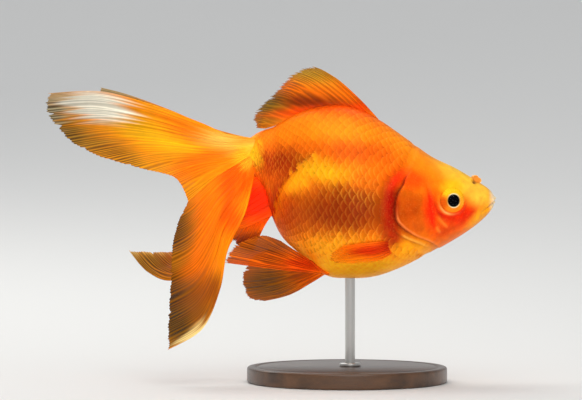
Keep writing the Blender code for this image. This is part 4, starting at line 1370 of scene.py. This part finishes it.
# %% Pale sweep
SWEEP_RADIUS, SWEEP_HEIGHT, SWEEP_CURVE = 3000, 2700, 2600
deselect()
floor = cylinder("floor", SWEEP_RADIUS, 0, SWEEP_HEIGHT, sides=128)
bpy.ops.object.transform_apply(location=True)
pick_top(floor)
bpy.ops.mesh.delete(type="FACE")
bpy.ops.mesh.select_all(action="SELECT")
bpy.ops.mesh.flip_normals()
bpy.ops.object.mode_set(mode="OBJECT")
bevel(floor, SWEEP_CURVE, 40)
bpy.ops.transform.resize(value=(1, 1, 0.5), center_override=(0, 0, 0))
bpy.ops.object.transform_apply(scale=True)
floor.data.shade_smooth()
floor.data.materials.append(Finish("pale floor", roughness=0.8, base_color=(0.78, 0.78, 0.77, 1)).material)
print("floor faces:", len(floor.data.polygons))

# %% Lamps
FISH_MIDDLE = (-0.02, 0, 0.06)
SPOT_CONE = math.radians(34)


def lamp(name, place, aim, size, power, colour=(1, 1, 1), kind="AREA"):
    """A lamp aimed at a place. An area lamp's size is its side, a spot's the radius of its bulb."""
    deselect()
    bpy.ops.object.light_add(type=kind, location=place)
    made = bpy.context.object
    made.name = name
    made.data.energy, made.data.color = power, colour
    if kind == "SPOT":
        made.data.shadow_soft_size, made.data.spot_size, made.data.spot_blend = size, SPOT_CONE, 0.7
        made.visible_glossy = False
    else:
        made.data.size = size
    made.visible_camera = False
    dx, dy, dz = np.subtract(place, aim)
    made.rotation_euler = (math.atan2(math.hypot(dx, dy), dz), 0, math.atan2(dy, dx) + math.pi / 2)


lamp("key", (0.0, -0.38, 0.75), FISH_MIDDLE, 0.65, 2.2, (1.0, 0.97, 0.92))
lamp("front fill", (0.10, -0.90, 0.45), FISH_MIDDLE, 0.6, 1.15)
lamp("low fill", (0.0, -0.32, 0.02), (-0.01, 0, 0.045), 0.03, 3.3, (1.0, 0.93, 0.84), "SPOT")
lamp("back", (-0.45, 0.50, 0.85), FISH_MIDDLE, 0.8, 5.0, (1.0, 0.98, 0.94))
lamp("backdrop", (0.0, 0.9, 2.0), (0, 1.8, 0.3), 1.6, 14.0)
world = bpy.data.worlds.new("studio")
world.use_nodes = True
sky = world.node_tree.nodes["Background"].inputs
sky["Color"].default_value, sky["Strength"].default_value = (0.9, 0.92, 0.95, 1), 0.40
bpy.context.scene.world = world
bpy.context.scene.view_settings.view_transform = "Standard"
print("lamps:", len(bpy.data.lights))

# %% [markdown]
# The camera looks straight at the fish's right flank, level, from 70 cm.

# %% Camera
CAMERA_X, CAMERA_Z, CAMERA_AWAY = -17.9, 58.2, 700.0
FRAME_WIDTH = 186.24        # how much the frame shows at the middle of the fish
SENSOR = 36.0
deselect()
bpy.ops.object.camera_add(location=(CAMERA_X * MM, -CAMERA_AWAY * MM, CAMERA_Z * MM),
                          rotation=(math.pi / 2, 0, 0))
camera = bpy.context.object
camera.data.sensor_width = SENSOR
camera.data.lens = SENSOR * CAMERA_AWAY / FRAME_WIDTH
bpy.context.scene.camera = camera
print("lens:", round(camera.data.lens, 1), "mm")

# %% [markdown]
